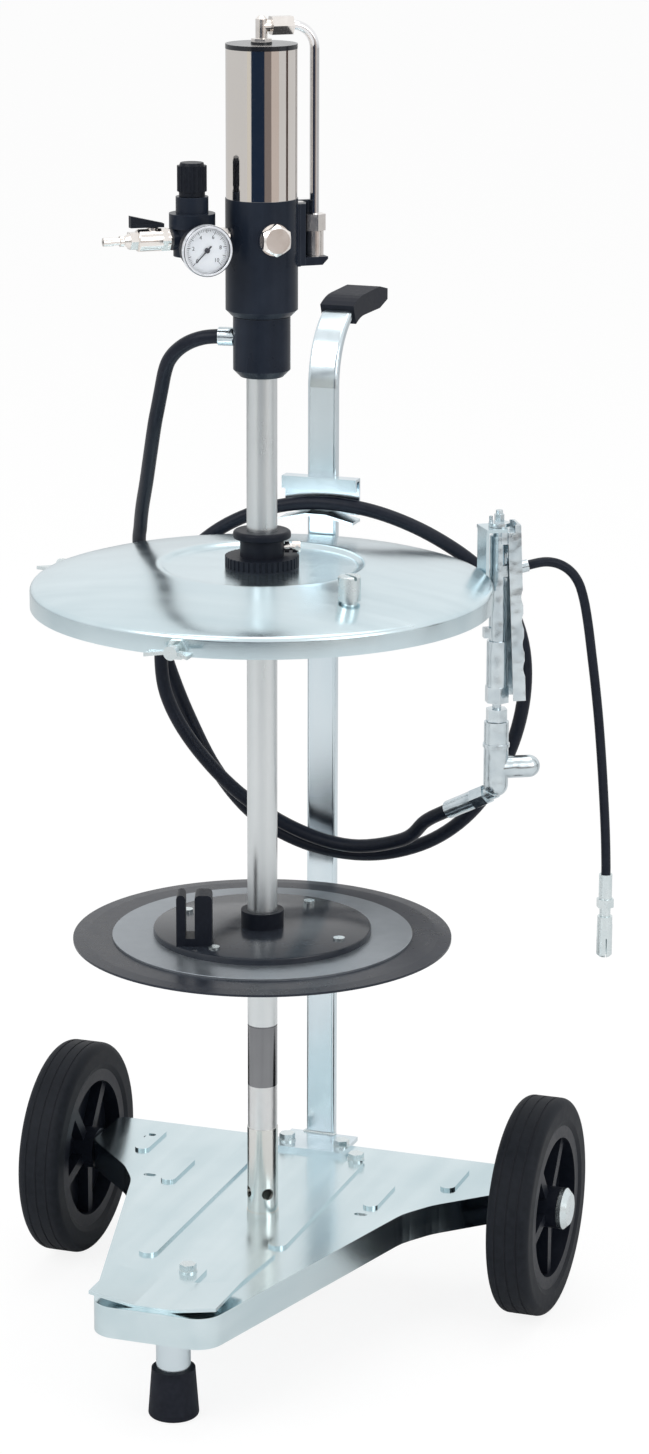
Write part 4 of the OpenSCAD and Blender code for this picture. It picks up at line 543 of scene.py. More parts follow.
class Bench:
    """Shared ways of making and dressing pieces."""

    @staticmethod
    def dress(nodes: Iterable[str], finish: Finish | Window) -> None:
        """Gives CAD nodes a finish.

        Args:
            nodes: The nodes' names.
            finish: What they are dressed in.
        """
        material = finish.material()
        for name in nodes:
            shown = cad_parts[name]
            if not shown.material_slots:
                shown.data.materials.append(material)
            for slot in shown.material_slots:
                slot.link = "OBJECT"
                slot.material = material
            log.info("dressed %s in %s", name, material.name)

    @staticmethod
    def piece(
        name: str, mesh: bpy.types.Mesh, body: Body, slot: str, replaces: Sequence[str] = ()
    ) -> bpy.types.Object:
        """Links a finished mesh and lets it ride.

        Args:
            name: The piece's name.
            mesh: Its mesh, in place.
            body: The body that carries it.
            slot: A material slot's name; not used.
            replaces: CAD nodes that it stands for.

        Returns:
            The piece.
        """
        mesh.name = name
        made = placed(name, mesh)
        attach(made, body.value)
        if replaces:
            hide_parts(*replaces)
        log.info("made %s, %d faces", name, len(mesh.polygons))
        return made

    @staticmethod
    def lathe(profile: Sequence[Pair], place: Matrix, finish: Finish, steps: int = 256) -> bpy.types.Mesh:
        """Turns a closed outline of (radius, height) pairs in millimetres about Z.

        Args:
            profile: The outline.
            place: Where the turned shape goes.
            finish: What it is dressed in.
            steps: Sides round the axis.

        Returns:
            A closed mesh with its faces outwards.
        """
        shape = bmesh.new()
        angles = [math.tau * k / steps for k in range(steps)]
        rings = [
            [shape.verts.new((r * MM * math.cos(a), r * MM * math.sin(a), height * MM)) for a in angles]
            for r, height in profile
        ]
        for ring, after in zip(rings, rings[1:] + rings[:1]):
            for k in range(steps):
                n = (k + 1) % steps
                shape.faces.new((ring[k], ring[n], after[n], after[k]))
        return Bench.finished(shape, place, finish)

    @staticmethod
    def finished(shape: bmesh.types.BMesh, place: Matrix, finish: Finish) -> bpy.types.Mesh:
        """Closes, turns outwards, places and dresses a mesh under construction.

        Args:
            shape: The mesh under construction.
            place: Where it goes.
            finish: What it is dressed in.

        Returns:
            The mesh.
        """
        bmesh.ops.remove_doubles(shape, verts=shape.verts, dist=SAME_PLACE)
        bmesh.ops.recalc_face_normals(shape, faces=shape.faces)
        mesh = bpy.data.meshes.new("part")
        shape.to_mesh(mesh)
        shape.free()
        mesh.transform(place)
        mesh.shade_smooth()
        mesh.set_sharp_from_angle(angle=SHARP_EDGE)
        mesh.materials.append(finish.material())
        return mesh

    @staticmethod
    def plate(
        outline: Sequence[Pair], thick: float, place: Matrix, finish: Finish, bevel: float
    ) -> bpy.types.Mesh:
        """Thickens a flat outline both ways along its own Z and rounds its edges.

        Args:
            outline: Its (x, y) corners in millimetres.
            thick: The whole thickness in millimetres.
            place: Where it goes.
            finish: What it is dressed in.
            bevel: The rounding in millimetres.

        Returns:
            A closed mesh.
        """
        shape = bmesh.new()
        half = thick / 2
        sides = [[shape.verts.new((x * MM, y * MM, z * MM)) for x, y in outline] for z in (-half, half)]
        count = len(outline)
        for k in range(count):
            n = (k + 1) % count
            shape.faces.new((sides[0][k], sides[0][n], sides[1][n], sides[1][k]))
        shape.faces.new(sides[1])
        shape.faces.new(sides[0][::-1])
        rims = [e for e in shape.edges if e.calc_face_angle(0.0) > ROUNDED_EDGE]
        bmesh.ops.bevel(shape, geom=rims, offset=bevel * MM, segments=3, profile=0.5, affect="EDGES")
        return Bench.finished(shape, place, finish)

    @staticmethod
    def joined(meshes: Sequence[bpy.types.Mesh], places: Sequence[Matrix]) -> bpy.types.Mesh:
        """Puts several placed meshes into one.

        Args:
            meshes: The meshes, all in one finish.
            places: Where each one goes.

        Returns:
            The one mesh.
        """
        shape = bmesh.new()
        for mesh, place in zip(meshes, places):
            copy = mesh.copy()
            copy.transform(place)
            shape.from_mesh(copy)
        made = bpy.data.meshes.new("joined")
        shape.to_mesh(made)
        shape.free()
        for material in meshes[0].materials:
            made.materials.append(material)
        return made


@dataclass(frozen=True)
class Places:
    """Where the sub-assemblies stand, in millimetres and degrees, as the part's source has them."""

    pump: Pair = (12.5, -49.0)
    pump_turn: float = 40.0
    gauge_z: float = 994.5
    regulator_a: float = 62.0
    shelf_z: float = 735.0
    gun: Pair = (186.903, 79.112)
    gun_turn: float = 30.0

    def axis(self) -> Matrix:
        """Gives the pump's axis."""
        return Matrix.Translation((self.pump[0] * MM, self.pump[1] * MM, 0))

    def outward(self, azimuth: float, height: float) -> Matrix:
        """Gives a line out from the pump's axis, along its own Z."""
        return (
            self.axis() @ Matrix.Rotation(math.radians(azimuth), 4, "Z")
            @ Matrix.Translation((0, 0, height * MM)) @ Matrix.Rotation(math.pi / 2, 4, "Y")
        )

    def gauge(self) -> Matrix:
        """Gives the gauge's axis, along its own Z."""
        return (
            self.axis() @ Matrix.Rotation(math.radians(self.pump_turn), 4, "Z")
            @ Matrix.Translation((-self.regulator_a * MM, 0, self.gauge_z * MM))
            @ Matrix.Rotation(math.pi / 2, 4, "X")
        )


PLACES = Places()


@dataclass
class Studio:
    """The camera at the photograph's view, the floor and plain soft light."""

    eye: Point = (1213.58, -3323.6, 1501.76)
    yaw: float = 19.25
    pitch: float = 14.97
    roll: float = 0.17
    lens: float = 102.53
    film_width: float = 36.0
    air_strength: float = 0.62
    ground_grey: Colour = (0.62, 0.64, 0.66)
    ground_ends: float = 0.35
    sky_starts: float = 0.62
    floor_half: float = 14.0
    floor_drop: float = 0.0005
    floor_grey: float = 0.93
    floor_glow: float = 1.06
    glow_share: float = 0.82
    lamps_aim: Point = (0.0, 0.0, 0.6)
    cards_r: float = 5.0
    cards_top: float = 1.15
    cards_turn: float = -70.6
    card_panels: int = 8

    def build(self) -> None:
        """Makes the camera, the world, the floor, the lamps and the dark cards."""
        self.camera()
        self.world()
        self.floor()
        self.lamps()
        self.cards()
        bpy.context.scene.view_settings.view_transform = "Standard"
        log.info("studio is set")

    def camera(self) -> None:
        """Places the camera."""
        data = bpy.data.cameras.new("camera")
        data.lens = self.lens
        data.sensor_width = self.film_width
        made = placed("camera", data)
        yaw, pitch = math.radians(self.yaw), math.radians(self.pitch)
        level = math.cos(pitch)
        ahead = Vector((-math.sin(yaw) * level, math.cos(yaw) * level, -math.sin(pitch)))
        right = Vector((math.cos(yaw), math.sin(yaw), 0))
        up = right.cross(ahead)
        turn = Matrix((right, up, -ahead)).transposed().to_4x4()
        tilt = Matrix.Rotation(math.radians(self.roll), 4, "Z")
        made.matrix_world = Matrix.Translation(Vector(self.eye) * MM) @ turn @ tilt
        bpy.context.scene.camera = made

    def world(self) -> None:
        """Makes a white surround that metal reflects with a soft fall towards the ground."""
        made = bpy.data.worlds.new("surround")
        made.use_nodes = True
        bpy.context.scene.world = made
        pen = NodePen(made.node_tree)
        back = made.node_tree.nodes["Background"]
        out = made.node_tree.nodes["World Output"]
        back.inputs["Color"].default_value = WHITE
        back.inputs["Strength"].default_value = self.air_strength
        seen = pen.add("ShaderNodeBackground", Color=WHITE, Strength=1.0)
        mirror = pen.add("ShaderNodeBackground", Strength=1.0)
        way = pen.add("ShaderNodeTexCoord").outputs["Generated"]
        split = pen.add("ShaderNodeSeparateXYZ")
        pen.join(way, split.inputs[0])
        ramp = pen.add("ShaderNodeValToRGB")
        ground, sky = ramp.color_ramp.elements
        ground.position = self.ground_ends
        ground.color = (*self.ground_grey, 1.0)
        sky.position = self.sky_starts
        sky.color = WHITE
        level = pen.add("ShaderNodeMapRange", From_Min=-1.0, From_Max=1.0)
        pen.join(split.outputs["Z"], level.inputs["Value"])
        pen.join(level.outputs["Result"], ramp.inputs["Fac"])
        pen.join(ramp.outputs["Color"], mirror.inputs["Color"])
        ray = pen.add("ShaderNodeLightPath")
        first = pen.add("ShaderNodeMixShader")
        second = pen.add("ShaderNodeMixShader")
        pen.join(ray.outputs["Is Glossy Ray"], first.inputs[0])
        pen.join(back.outputs[0], first.inputs[1])
        pen.join(mirror.outputs[0], first.inputs[2])
        pen.join(ray.outputs["Is Camera Ray"], second.inputs[0])
        pen.join(first.outputs[0], second.inputs[1])
        pen.join(seen.outputs[0], second.inputs[2])
        pen.join(second.outputs[0], out.inputs["Surface"])

    def floor(self) -> None:
        """Makes the pale floor, whose colour the camera sees as white outside the shadows."""
        shape = bmesh.new()
        h, z = self.floor_half, -self.floor_drop
        shape.faces.new([shape.verts.new((x, y, z)) for x, y in ((-h, -h), (h, -h), (h, h), (-h, h))])
        mesh = bpy.data.meshes.new("floor")
        shape.to_mesh(mesh)
        shape.free()
        made, pen, shader = blank_material("floor")
        shader.inputs["Base Color"].default_value = (*[self.floor_grey] * 3, 1.0)
        shader.inputs["Roughness"].default_value = 0.9
        shader.inputs["Specular IOR Level"].default_value = 0.0
        white = pen.add("ShaderNodeEmission", Color=WHITE, Strength=self.floor_glow)
        ray = pen.add("ShaderNodeLightPath")
        both = pen.add("ShaderNodeMath")
        both.operation = "MULTIPLY"
        both.inputs[1].default_value = self.glow_share
        pen.join(ray.outputs["Is Camera Ray"], both.inputs[0])
        mix = pen.add("ShaderNodeMixShader")
        pen.join(both.outputs[0], mix.inputs[0])
        pen.join(shader.outputs[0], mix.inputs[1])
        pen.join(white.outputs[0], mix.inputs[2])
        pen.join(mix.outputs[0], made.node_tree.nodes["Material Output"].inputs["Surface"])
        mesh.materials.append(made)
        plane = placed("floor", mesh)

    def lamps(self) -> None:
        """Makes the soft lamps."""
        for name, place, size, power in (
            ("key", (-1.6, -3.2, 3.6), 2.4, 62.0),
            ("fill", (3.4, -1.6, 2.2), 2.2, 26.0),
            ("top", (0.2, 0.4, 4.2), 2.6, 34.0),
        ):
            data = bpy.data.lights.new(name, "AREA")
            data.size = size
            data.energy = power
            lamp = placed(name, data)
            lamp.location = place
            aim = Vector(self.lamps_aim) - Vector(place)
            lamp.rotation_euler = aim.to_track_quat("-Z", "Y").to_euler()

    def cards(self) -> None:
        """Stands upright cards round the studio, which only polished metal sees."""
        for name, middle, width, colour in (
            ("card_dark", -11.0, 42.0, (0.012, 0.022, 0.045)),
            ("card_brown", 21.0, 22.0, (0.20, 0.17, 0.16)),
            ("card_tan", 45.0, 26.0, (0.52, 0.46, 0.43)),
            ("card_thin", 90.0, 9.0, (0.07, 0.05, 0.045)),
            ("card_left", -40.0, 12.0, (0.62, 0.60, 0.55)),
        ):
            shape = bmesh.new()
            low, high = [], []
            for k in range(self.card_panels + 1):
                a = math.radians(self.cards_turn + middle + width * (k / self.card_panels - 0.5))
                for row, z in ((low, 0.0), (high, self.cards_top)):
                    row.append(shape.verts.new((self.cards_r * math.cos(a), self.cards_r * math.sin(a), z)))
            for k in range(self.card_panels):
                shape.faces.new((low[k], low[k + 1], high[k + 1], high[k]))
            mesh = bpy.data.meshes.new(name)
            shape.to_mesh(mesh)
            shape.free()
            made, pen, _ = blank_material(name)
            glow = pen.add("ShaderNodeEmission", Color=(*colour, 1.0), Strength=1.0)
            pen.join(glow.outputs[0], made.node_tree.nodes["Material Output"].inputs["Surface"])
            mesh.materials.append(made)
            card = placed(name, mesh)
            card.visible_camera = False
            card.visible_diffuse = False
            card.visible_shadow = False
            card.visible_transmission = False
            card.visible_volume_scatter = False


@dataclass
class Hose:
    """One free hose, swept along the route that the part's source has."""

    name: str
    node: str
    body: Body
    diameter: float
    route: list[Point]
    far_end: str
    stiffness: str
    with_pieces: tuple[str, ...] = ()
    steps: int = 7
    sides: int = 24

    def path(self) -> list[Vector]:
        """Gives close points on the smooth curve through the route, in metres.

        Returns:
            The points.
        """
        p = [Vector(q) * MM for q in self.route]
        p = [2 * p[0] - p[1], *p, 2 * p[-1] - p[-2]]
        found = []
        for a, b, c, d in zip(p, p[1:], p[2:], p[3:]):
            slope = c - a
            bend = 2 * a - 5 * b + 4 * c - d
            twist = 3 * b - a - 3 * c + d
            for k in range(self.steps):
                t = k / self.steps
                found.append(0.5 * (2 * b + slope * t + bend * t * t + twist * t**3))
        return [*found, p[-2]]

    def build(self) -> None:
        points = self.path()
        base = straight_line(self.name + "_line", points)
        grow = GrowTree(self.name + "_sweep", {"Radius": self.diameter * MM / 2, "Sides": self.sides})
        ring = grow.pen.add("GeometryNodeCurvePrimitiveCircle")
        grow.pen.join(grow.size("Radius"), ring.inputs["Radius"])
        grow.pen.join(grow.size("Sides"), ring.inputs["Resolution"])
        sweep = grow.pen.add("GeometryNodeCurveToMesh", Fill_Caps=True)
        grow.pen.join(grow.entry.outputs["Geometry"], sweep.inputs["Curve"])
        grow.pen.join(ring.outputs["Curve"], sweep.inputs["Profile Curve"])
        grow.close(sweep.outputs["Mesh"], HOSE_RUBBER)
        mesh = grow.grow(base, Radius=self.diameter * MM / 2, Sides=self.sides)
        made = Bench.piece(self.name, mesh, self.body, "hose_rubber", [self.node])


@dataclass
class Hoses:
    """The looped supply hose and the short whip hose."""

    supply_thick: float = 12.5
    whip_thick: float = 8.5
    supply: list[Point] = field(default_factory=lambda: [
        (-15, -54, 912), (-22.9, -55.4, 912), (-36.9, -56.9, 910.4), (-50.3, -56.6, 905.6),
        (-62.1, -54.4, 897.9), (-71.5, -50.4, 888), (-77.8, -45, 876.5), (-84.6, -36.4, 859),
        (-91.3, -27.7, 841.5), (-98, -19, 824), (-111, 3, 793), (-125, 28, 762), (-139, 53, 734),
        (-149.5, 74, 711), (-157, 90, 690),
        (-161, 113, 646), (-156, 129, 604), (-145, 137, 560), (-129, 141, 518), (-105, 143, 472),
        (-72, 144, 434), (-32, 144, 412), (14, 144, 402), (62, 144, 405), (110, 143, 424),
        (150, 140, 459), (179, 138, 508), (194, 137, 560), (194, 137, 610), (178, 138, 652),
        (148, 140, 683), (108, 142, 706), (66, 144, 721), (26, 144, 728.4), (-16, 144, 728.4),
        (-58, 141, 719), (-98, 135, 699), (-128, 127, 670), (-144, 118, 633), (-146, 113, 592),
        (-141, 113, 546), (-117, 118, 500), (-74, 124, 455), (-20, 127, 425), (36, 124, 415),
        (90, 112, 430), (114, 102, 452), (132, 96.4, 463.5), (149, 91, 473),
    ])
    whip: list[Pair] = field(default_factory=lambda: [
        (20, -37.6), (34.6, -34.5), (43.4, -33.8), (52.2, -35.4), (60.2, -39.3), (66.9, -45.1),
        (72, -52.6), (75.4, -61), (79, -75), (82.5, -95), (86, -120), (90, -150), (94, -185),
        (98, -230), (101.5, -280), (103, -315), (103, -330),
    ])

    def build(self) -> None:
        """Makes both hoses."""
        Hose(
            "supply_hose_body", "supply_hose", Body.TROLLEY, self.supply_thick, self.supply, "object", "stiff"
        ).build()
        turn = math.radians(PLACES.gun_turn)
        whip = [
            (PLACES.gun[0] + u * math.cos(turn), PLACES.gun[1] + u * math.sin(turn), PLACES.shelf_z + z)
            for u, z in self.whip
        ]
        Hose(
            "whip_hose_body", "whip_hose", Body.GUN, self.whip_thick, whip, "connector", "medium",
            ("whip_coupler",),
        ).build()


@dataclass
class Thread:
    """Screw thread turns laid on a plain shank."""

    radius: float
    pitch: float
    length: float
    start: float
    sunk_share: float = 0.05
    crest_share: float = 0.42
    turn_points: int = 20
    crest_sides: int = 5

    def mesh(self, finish: Finish) -> bpy.types.Mesh:
        """Grows the turns along Z.

        Args:
            finish: What they are dressed in.

        Returns:
            The mesh in the screw's own frame.
        """
        grow = GrowTree("thread_turns", {"Radius": 0.003, "Pitch": 0.001, "Turns": 5.0, "Crest": 0.0004})
        spiral = grow.pen.add("GeometryNodeCurveSpiral", Resolution=self.turn_points)
        height = grow.pen.add("ShaderNodeMath")
        height.operation = "MULTIPLY"
        grow.pen.join(grow.size("Pitch"), height.inputs[0])
        grow.pen.join(grow.size("Turns"), height.inputs[1])
        grow.pen.join(grow.size("Turns"), spiral.inputs["Rotations"])
        grow.pen.join(grow.size("Radius"), spiral.inputs["Start Radius"])
        grow.pen.join(grow.size("Radius"), spiral.inputs["End Radius"])
        grow.pen.join(height.outputs[0], spiral.inputs["Height"])
        ring = grow.pen.add("GeometryNodeCurvePrimitiveCircle", Resolution=self.crest_sides)
        grow.pen.join(grow.size("Crest"), ring.inputs["Radius"])
        sweep = grow.pen.add("GeometryNodeCurveToMesh", Fill_Caps=True)
        grow.pen.join(spiral.outputs[0], sweep.inputs["Curve"])
        grow.pen.join(ring.outputs["Curve"], sweep.inputs["Profile Curve"])
        grow.close(sweep.outputs["Mesh"], finish, False)
        made = grow.grow(
            None, Radius=(self.radius - self.pitch * self.sunk_share) * MM, Pitch=self.pitch * MM,
            Turns=self.length / self.pitch, Crest=self.pitch * self.crest_share * MM,
        )
        made.transform(Matrix.Translation((0, 0, self.start * MM)))
        return made


@dataclass
class PumpUnit:
    """The air motor, its cylinder, the suction tube and the foot."""

    cylinder_r: float = 30.2
    cylinder_bore: float = 28.5
    cylinder_z0: float = 1031.0
    cylinder_z1: float = 1156.0

    def build(self) -> None:
        """Dresses the nodes and makes the mirror cylinder."""
        Bench.dress(["motor_body", "outlet_body", "valve_block"], BLACK_METAL)
        Bench.dress(["cylinder_cap"], CAP_BLACK)
        Bench.dress(["suction_tube"], TUBE)
        Bench.dress(["lower_cylinder"], DARK_TUBE)
        Bench.dress(["valve_sleeve"], PALE_SLEEVE)
        Bench.dress(["foot_valve"], FOOT_STEEL)
        Bench.dress(["body_plugs", "tube_fittings"], NICKEL)
        Bench.dress(["transfer_tube", "spool"], CHROME)
        Bench.dress(["check_valve", "air_piston", "pump_rod", "priming_plunger"], HIDDEN_STEEL)
        Bench.dress(["rod_seals"], SOFT_RUBBER)
        shell = Bench.lathe(
            [
                (self.cylinder_bore, self.cylinder_z0), (self.cylinder_r, self.cylinder_z0),
                (self.cylinder_r, self.cylinder_z1), (self.cylinder_bore, self.cylinder_z1),
            ],
            PLACES.axis(), MIRROR,
        )
        Bench.piece("mirror_cylinder", shell, Body.TROLLEY, "nickel_plate", ["motor_cylinder"])


@dataclass
class AirLine:
    """The nipple, ball valve, regulator and pressure gauge."""

    dial_b: float = 37.5
    bezel_b: float = 42.15
    bezel_in: float = 19.2
    bezel_r: float = 21.65
    bezel_deep: float = 6.2
    bezel_slope: float = 0.5
    bezel_round: float = 0.8
    bezel_shoulder: float = 0.85
    bezel_sheet: float = 0.12
    bezel_wall: float = 0.15
    bezel_sides: int = 96
    zero_at: float = 225.0
    sweep: float = 270.0
    ink_lift: float = 0.06
    figure_lift: float = 0.08
    figure_r: float = 12.1
    figure_high: float = 4.6
    figure_thick: float = 0.05
    fine_marks: int = 51
    fine_r: float = 16.6
    fine_size: Pair = (1.9, 0.22)
    bold_marks: int = 11
    bold_r: float = 16.1
    bold_size: Pair = (3.0, 0.45)
    numbers: tuple[int, ...] = (0, 2, 4, 6, 8, 10)

    def build(self) -> None:
        """Dresses the nodes and prints the dial."""
        Bench.dress(["air_nipple", "ball_valve_body"], NICKEL)
        Bench.dress(["valve_lever", "gauge_case"], BLACK_PLASTIC)
        Bench.dress(["regulator_body"], BLACK_METAL)
        Bench.dress(["regulator_knob"], KNOB_PLASTIC)
        Bench.dress(["gauge_dial"], DIAL_WHITE)
        Bench.dress(["gauge_needle"], DIAL_INK)
        Bench.dress(["gauge_glass"], Window())
        self.scale_marks()
        self.figures()
        front, out = self.bezel_b, self.bezel_r
        back, lined = front - self.bezel_deep, out - self.bezel_wall
        ring = Bench.lathe(
            [
                (self.bezel_in, front - self.bezel_sheet), (self.bezel_in, front - self.bezel_slope),
                (self.bezel_in + self.bezel_slope, front), (out - self.bezel_round, front),
                (out, front - self.bezel_round), (out, back), (lined, back),
                (lined, front - self.bezel_shoulder), (out - self.bezel_shoulder, front - self.bezel_sheet),
            ],
            PLACES.gauge(), BEZEL, self.bezel_sides,
        )
        Bench.piece("gauge_bezel", ring, Body.TROLLEY, "nickel_plate")

    def scale_marks(self) -> None:
        """Prints the scale: two rows of short bars along arcs, one fine and one bold."""
        grow = GrowTree("dial_marks", {
            "Radius": 0.015, "Count": 51, "Start": 0.0, "Sweep": 1.0, "Long": 0.002, "Wide": 0.0003,
        })
        pen = grow.pen
        arc = pen.add("GeometryNodeCurveArc")
        pen.join(grow.size("Radius"), arc.inputs["Radius"])
        pen.join(grow.size("Count"), arc.inputs["Resolution"])
        pen.join(grow.size("Start"), arc.inputs["Start Angle"])
        pen.join(grow.size("Sweep"), arc.inputs["Sweep Angle"])
        points = pen.add("GeometryNodeCurveToPoints")
        points.mode = "EVALUATED"
        pen.join(arc.outputs[0], points.inputs["Curve"])
        bar = pen.add("GeometryNodeMeshCube")
        sides = pen.add("ShaderNodeCombineXYZ", Z=2 * self.ink_lift * MM)
        pen.join(grow.size("Long"), sides.inputs["X"])
        pen.join(grow.size("Wide"), sides.inputs["Y"])
        pen.join(sides.outputs[0], bar.inputs["Size"])
        place = pen.add("GeometryNodeInputPosition")
        turn = pen.add("FunctionNodeAlignRotationToVector")
        turn.axis = "X"
        pen.join(place.outputs[0], turn.inputs["Vector"])
        put = pen.add("GeometryNodeInstanceOnPoints")
        pen.join(points.outputs["Points"], put.inputs["Points"])
        pen.join(bar.outputs["Mesh"], put.inputs["Instance"])
        pen.join(turn.outputs[0], put.inputs["Rotation"])
        grow.close(put.outputs[0], DIAL_INK, False)
        rows = [
            grow.grow(
                None, Radius=radius * MM, Count=count, Start=math.radians(self.zero_at),
                Sweep=-math.radians(self.sweep), Long=size[0] * MM, Wide=size[1] * MM,
            )
            for radius, count, size in (
                (self.fine_r, self.fine_marks, self.fine_size),
                (self.bold_r, self.bold_marks, self.bold_size),
            )
        ]
        up = PLACES.gauge() @ Matrix.Translation((0, 0, (self.dial_b + self.ink_lift) * MM))
        mesh = Bench.joined(rows, [up, up])
        Bench.piece("dial_scale", mesh, Body.TROLLEY, "needle_black")

    def figures(self) -> None:
        """Prints plain numbers round the dial."""
        meshes, places = [], []
        for i, number in enumerate(self.numbers):
            words = bpy.data.curves.new("figure", "FONT")
            words.body = str(number)
            words.size = self.figure_high * MM
            words.align_x = "CENTER"
            words.align_y = "CENTER"
            words.extrude = self.figure_thick * MM
            mesh = baked(placed("figure", words))
            mesh.materials.clear()
            mesh.materials.append(DIAL_INK.material())
            angle = math.radians(self.zero_at - self.sweep * i / (len(self.numbers) - 1))
            out = self.figure_r * Vector((math.cos(angle), math.sin(angle), 0))
            spot = out + Vector((0, 0, self.dial_b + self.figure_lift))
            meshes.append(mesh)
            places.append(PLACES.gauge() @ Matrix.Translation(spot * MM))
        Bench.piece("dial_figures", Bench.joined(meshes, places), Body.TROLLEY, "needle_black")


@dataclass
class Lid:
    """The drum lid and all that it carries."""

    screw_azs: tuple[float, ...] = (-90.0, 166.0, 75.0)
    screw_z: float = 686.0
    thread_r: float = 3.5
    thread_pitch: float = 1.0
    outer_thread: Pair = (10.0, 207.0)
    inner_thread: Pair = (8.0, 189.0)
    sheet: float = 2.0
    z: float = 698.5
    bore: float = 27.06
    outer: float = 200.5
    skirt: float = 19.0
    edge_r: float = 5.0
    edge_angles: tuple[float, ...] = (0, 13, 26, 39, 52, 65, 77)
    rises: tuple[Pair, ...] = (
        (188.0, 2.45), (176.0, 4.8), (165.0, 6.9), (152.0, 8.85), (138.0, 10.8), (124.0, 12.75),
        (110.0, 14.7), (98.0, 16.35), (92.5, 17.1), (90.0, 17.3), (88.0, 17.1), (86.4, 16.3),
        (84.8, 15.2), (83.4, 14.4), (81.6, 14.05), (79.0, 14.0), (60.0, 14.0),
    )

    def build(self) -> None:
        """Dresses the nodes, makes the domed sheet and lays the screws' threads."""
        Bench.dress(["drum_lid", "gun_holder"], ZINC)
        Bench.dress(["bung_adapter"], BLACK_PLASTIC)
        Bench.dress(["bung_plug", "lid_fasteners"], BOLT_ZINC)
        Bench.dress(["adapter_screw"], NICKEL)
        self.dome()
        turns = [
            Thread(self.thread_r, self.thread_pitch, length, start).mesh(BOLT_ZINC)
            for length, start in (self.outer_thread, self.inner_thread)
        ]
        places = [PLACES.outward(az, self.screw_z) for az in self.screw_azs for _ in turns]
        mesh = Bench.joined(turns * len(self.screw_azs), places)
        Bench.piece("lid_screw_threads", mesh, Body.TROLLEY, "bright_steel")

    def dome(self) -> None:
        """Turns the pressed sheet with its rolled edge, dome and dished middle."""
        edge = [
            (self.outer - self.edge_r * (1 - math.cos(a)), self.z - self.edge_r * (1 - math.sin(a)))
            for a in map(math.radians, self.edge_angles)
        ]
        low = self.z - self.skirt
        top = [(self.outer, low), *edge, *[(r, self.z + h) for r, h in self.rises]]
        top.append((self.bore, self.z + self.rises[-1][1]))
        inward = [self.sheet if i < len(edge) else 0 for i in range(len(top))]
        down = [0, 0, *[self.sheet] * (len(top) - 2)]
        under = [(r - a, h - b) for (r, h), a, b in zip(top, inward, down)]
        sheet = Bench.lathe([*top, *under[:0:-1], (self.outer - self.sheet, low)], PLACES.axis(), ZINC)
        Bench.piece("lid_dome", sheet, Body.TROLLEY, "zinc_sheet", ["drum_lid"])


@dataclass
class Follower:
    """The follower plate: rubber wiper, steel ring, black disc and lifting clip."""

    z: float = 380.1
    hub_r: float = 18.86
    ring_r: float = 132.4
    ring_t: float = 2.0
    ring_edge: float = 0.4
    disc_r: float = 96.2
    disc_t: float = 6.0
    disc_edge: float = 1.6
    disc_corner: float = 0.5
    lap: float = 4.0
    seam: float = 0.1
    lift: float = 0.02
    clip_az: float = -119.6
    clip_r: float = 77.4
    clip_turn: float = 19.0
    clip_depth: float = 22.0
    clip_edge: float = 0.8
    clip_outline: tuple[Pair, ...] = (
        (-15.5, -0.5), (15.5, -0.5), (15.5, 42.5), (14.5, 45.0), (12.0, 46.0), (4.0, 46.0),
        (1.5, 45.0), (0.5, 42.5), (0.5, 7.0), (-7.5, 7.0), (-7.5, 42.5), (-8.5, 45.0),
        (-10.0, 46.0), (-13.0, 46.0), (-14.5, 45.0), (-15.5, 42.5),
    )

    def build(self) -> None:
        """Dresses the follower's nodes and makes its plate."""
        Bench.dress(["follower_rubber"], WIPER_RUBBER)
        Bench.dress(["follower_hub"], BLACK_PLASTIC)
        Bench.dress(["follower_screws"], BOLT_ZINC)
        top = self.z + self.ring_t
        ring_in = self.disc_r - self.lap
        ring = Bench.lathe(
            [
                (ring_in, self.z), (self.ring_r, self.z), (self.ring_r, top - self.ring_edge),
                (self.ring_r - self.ring_edge, top), (ring_in, top),
            ],
            PLACES.axis(), RING_STEEL,
        )
        Bench.piece("follower_ring", ring, Body.FOLLOWER, "dark_steel")
        high = top + self.disc_t
        neck_r, shelf = ring_in - self.seam, top + self.lift
        corner = self.disc_corner
        disc = Bench.lathe(
            [
                (self.hub_r, self.z), (neck_r, self.z), (neck_r, shelf), (self.disc_r, shelf),
                (self.disc_r, high - self.disc_edge), (self.disc_r - corner, high - corner),
                (self.disc_r - self.disc_edge, high), (self.hub_r, high),
            ],
            PLACES.axis(), BLACK_PLATE,
        )
        Bench.piece("follower_plate", disc, Body.FOLLOWER, "black_steel", ["follower_disc"])
        place = (
            PLACES.axis() @ Matrix.Rotation(math.radians(self.clip_az), 4, "Z")
            @ Matrix.Translation((self.clip_r * MM, 0, high * MM))
            @ Matrix.Rotation(math.radians(self.clip_turn - self.clip_az), 4, "Z")
            @ Matrix.Rotation(math.pi / 2, 4, "X")
        )
        clip = Bench.plate(self.clip_outline, self.clip_depth, place, BLACK_PLASTIC, self.clip_edge)
        Bench.piece("lifting_clip", clip, Body.FOLLOWER, "black_steel")


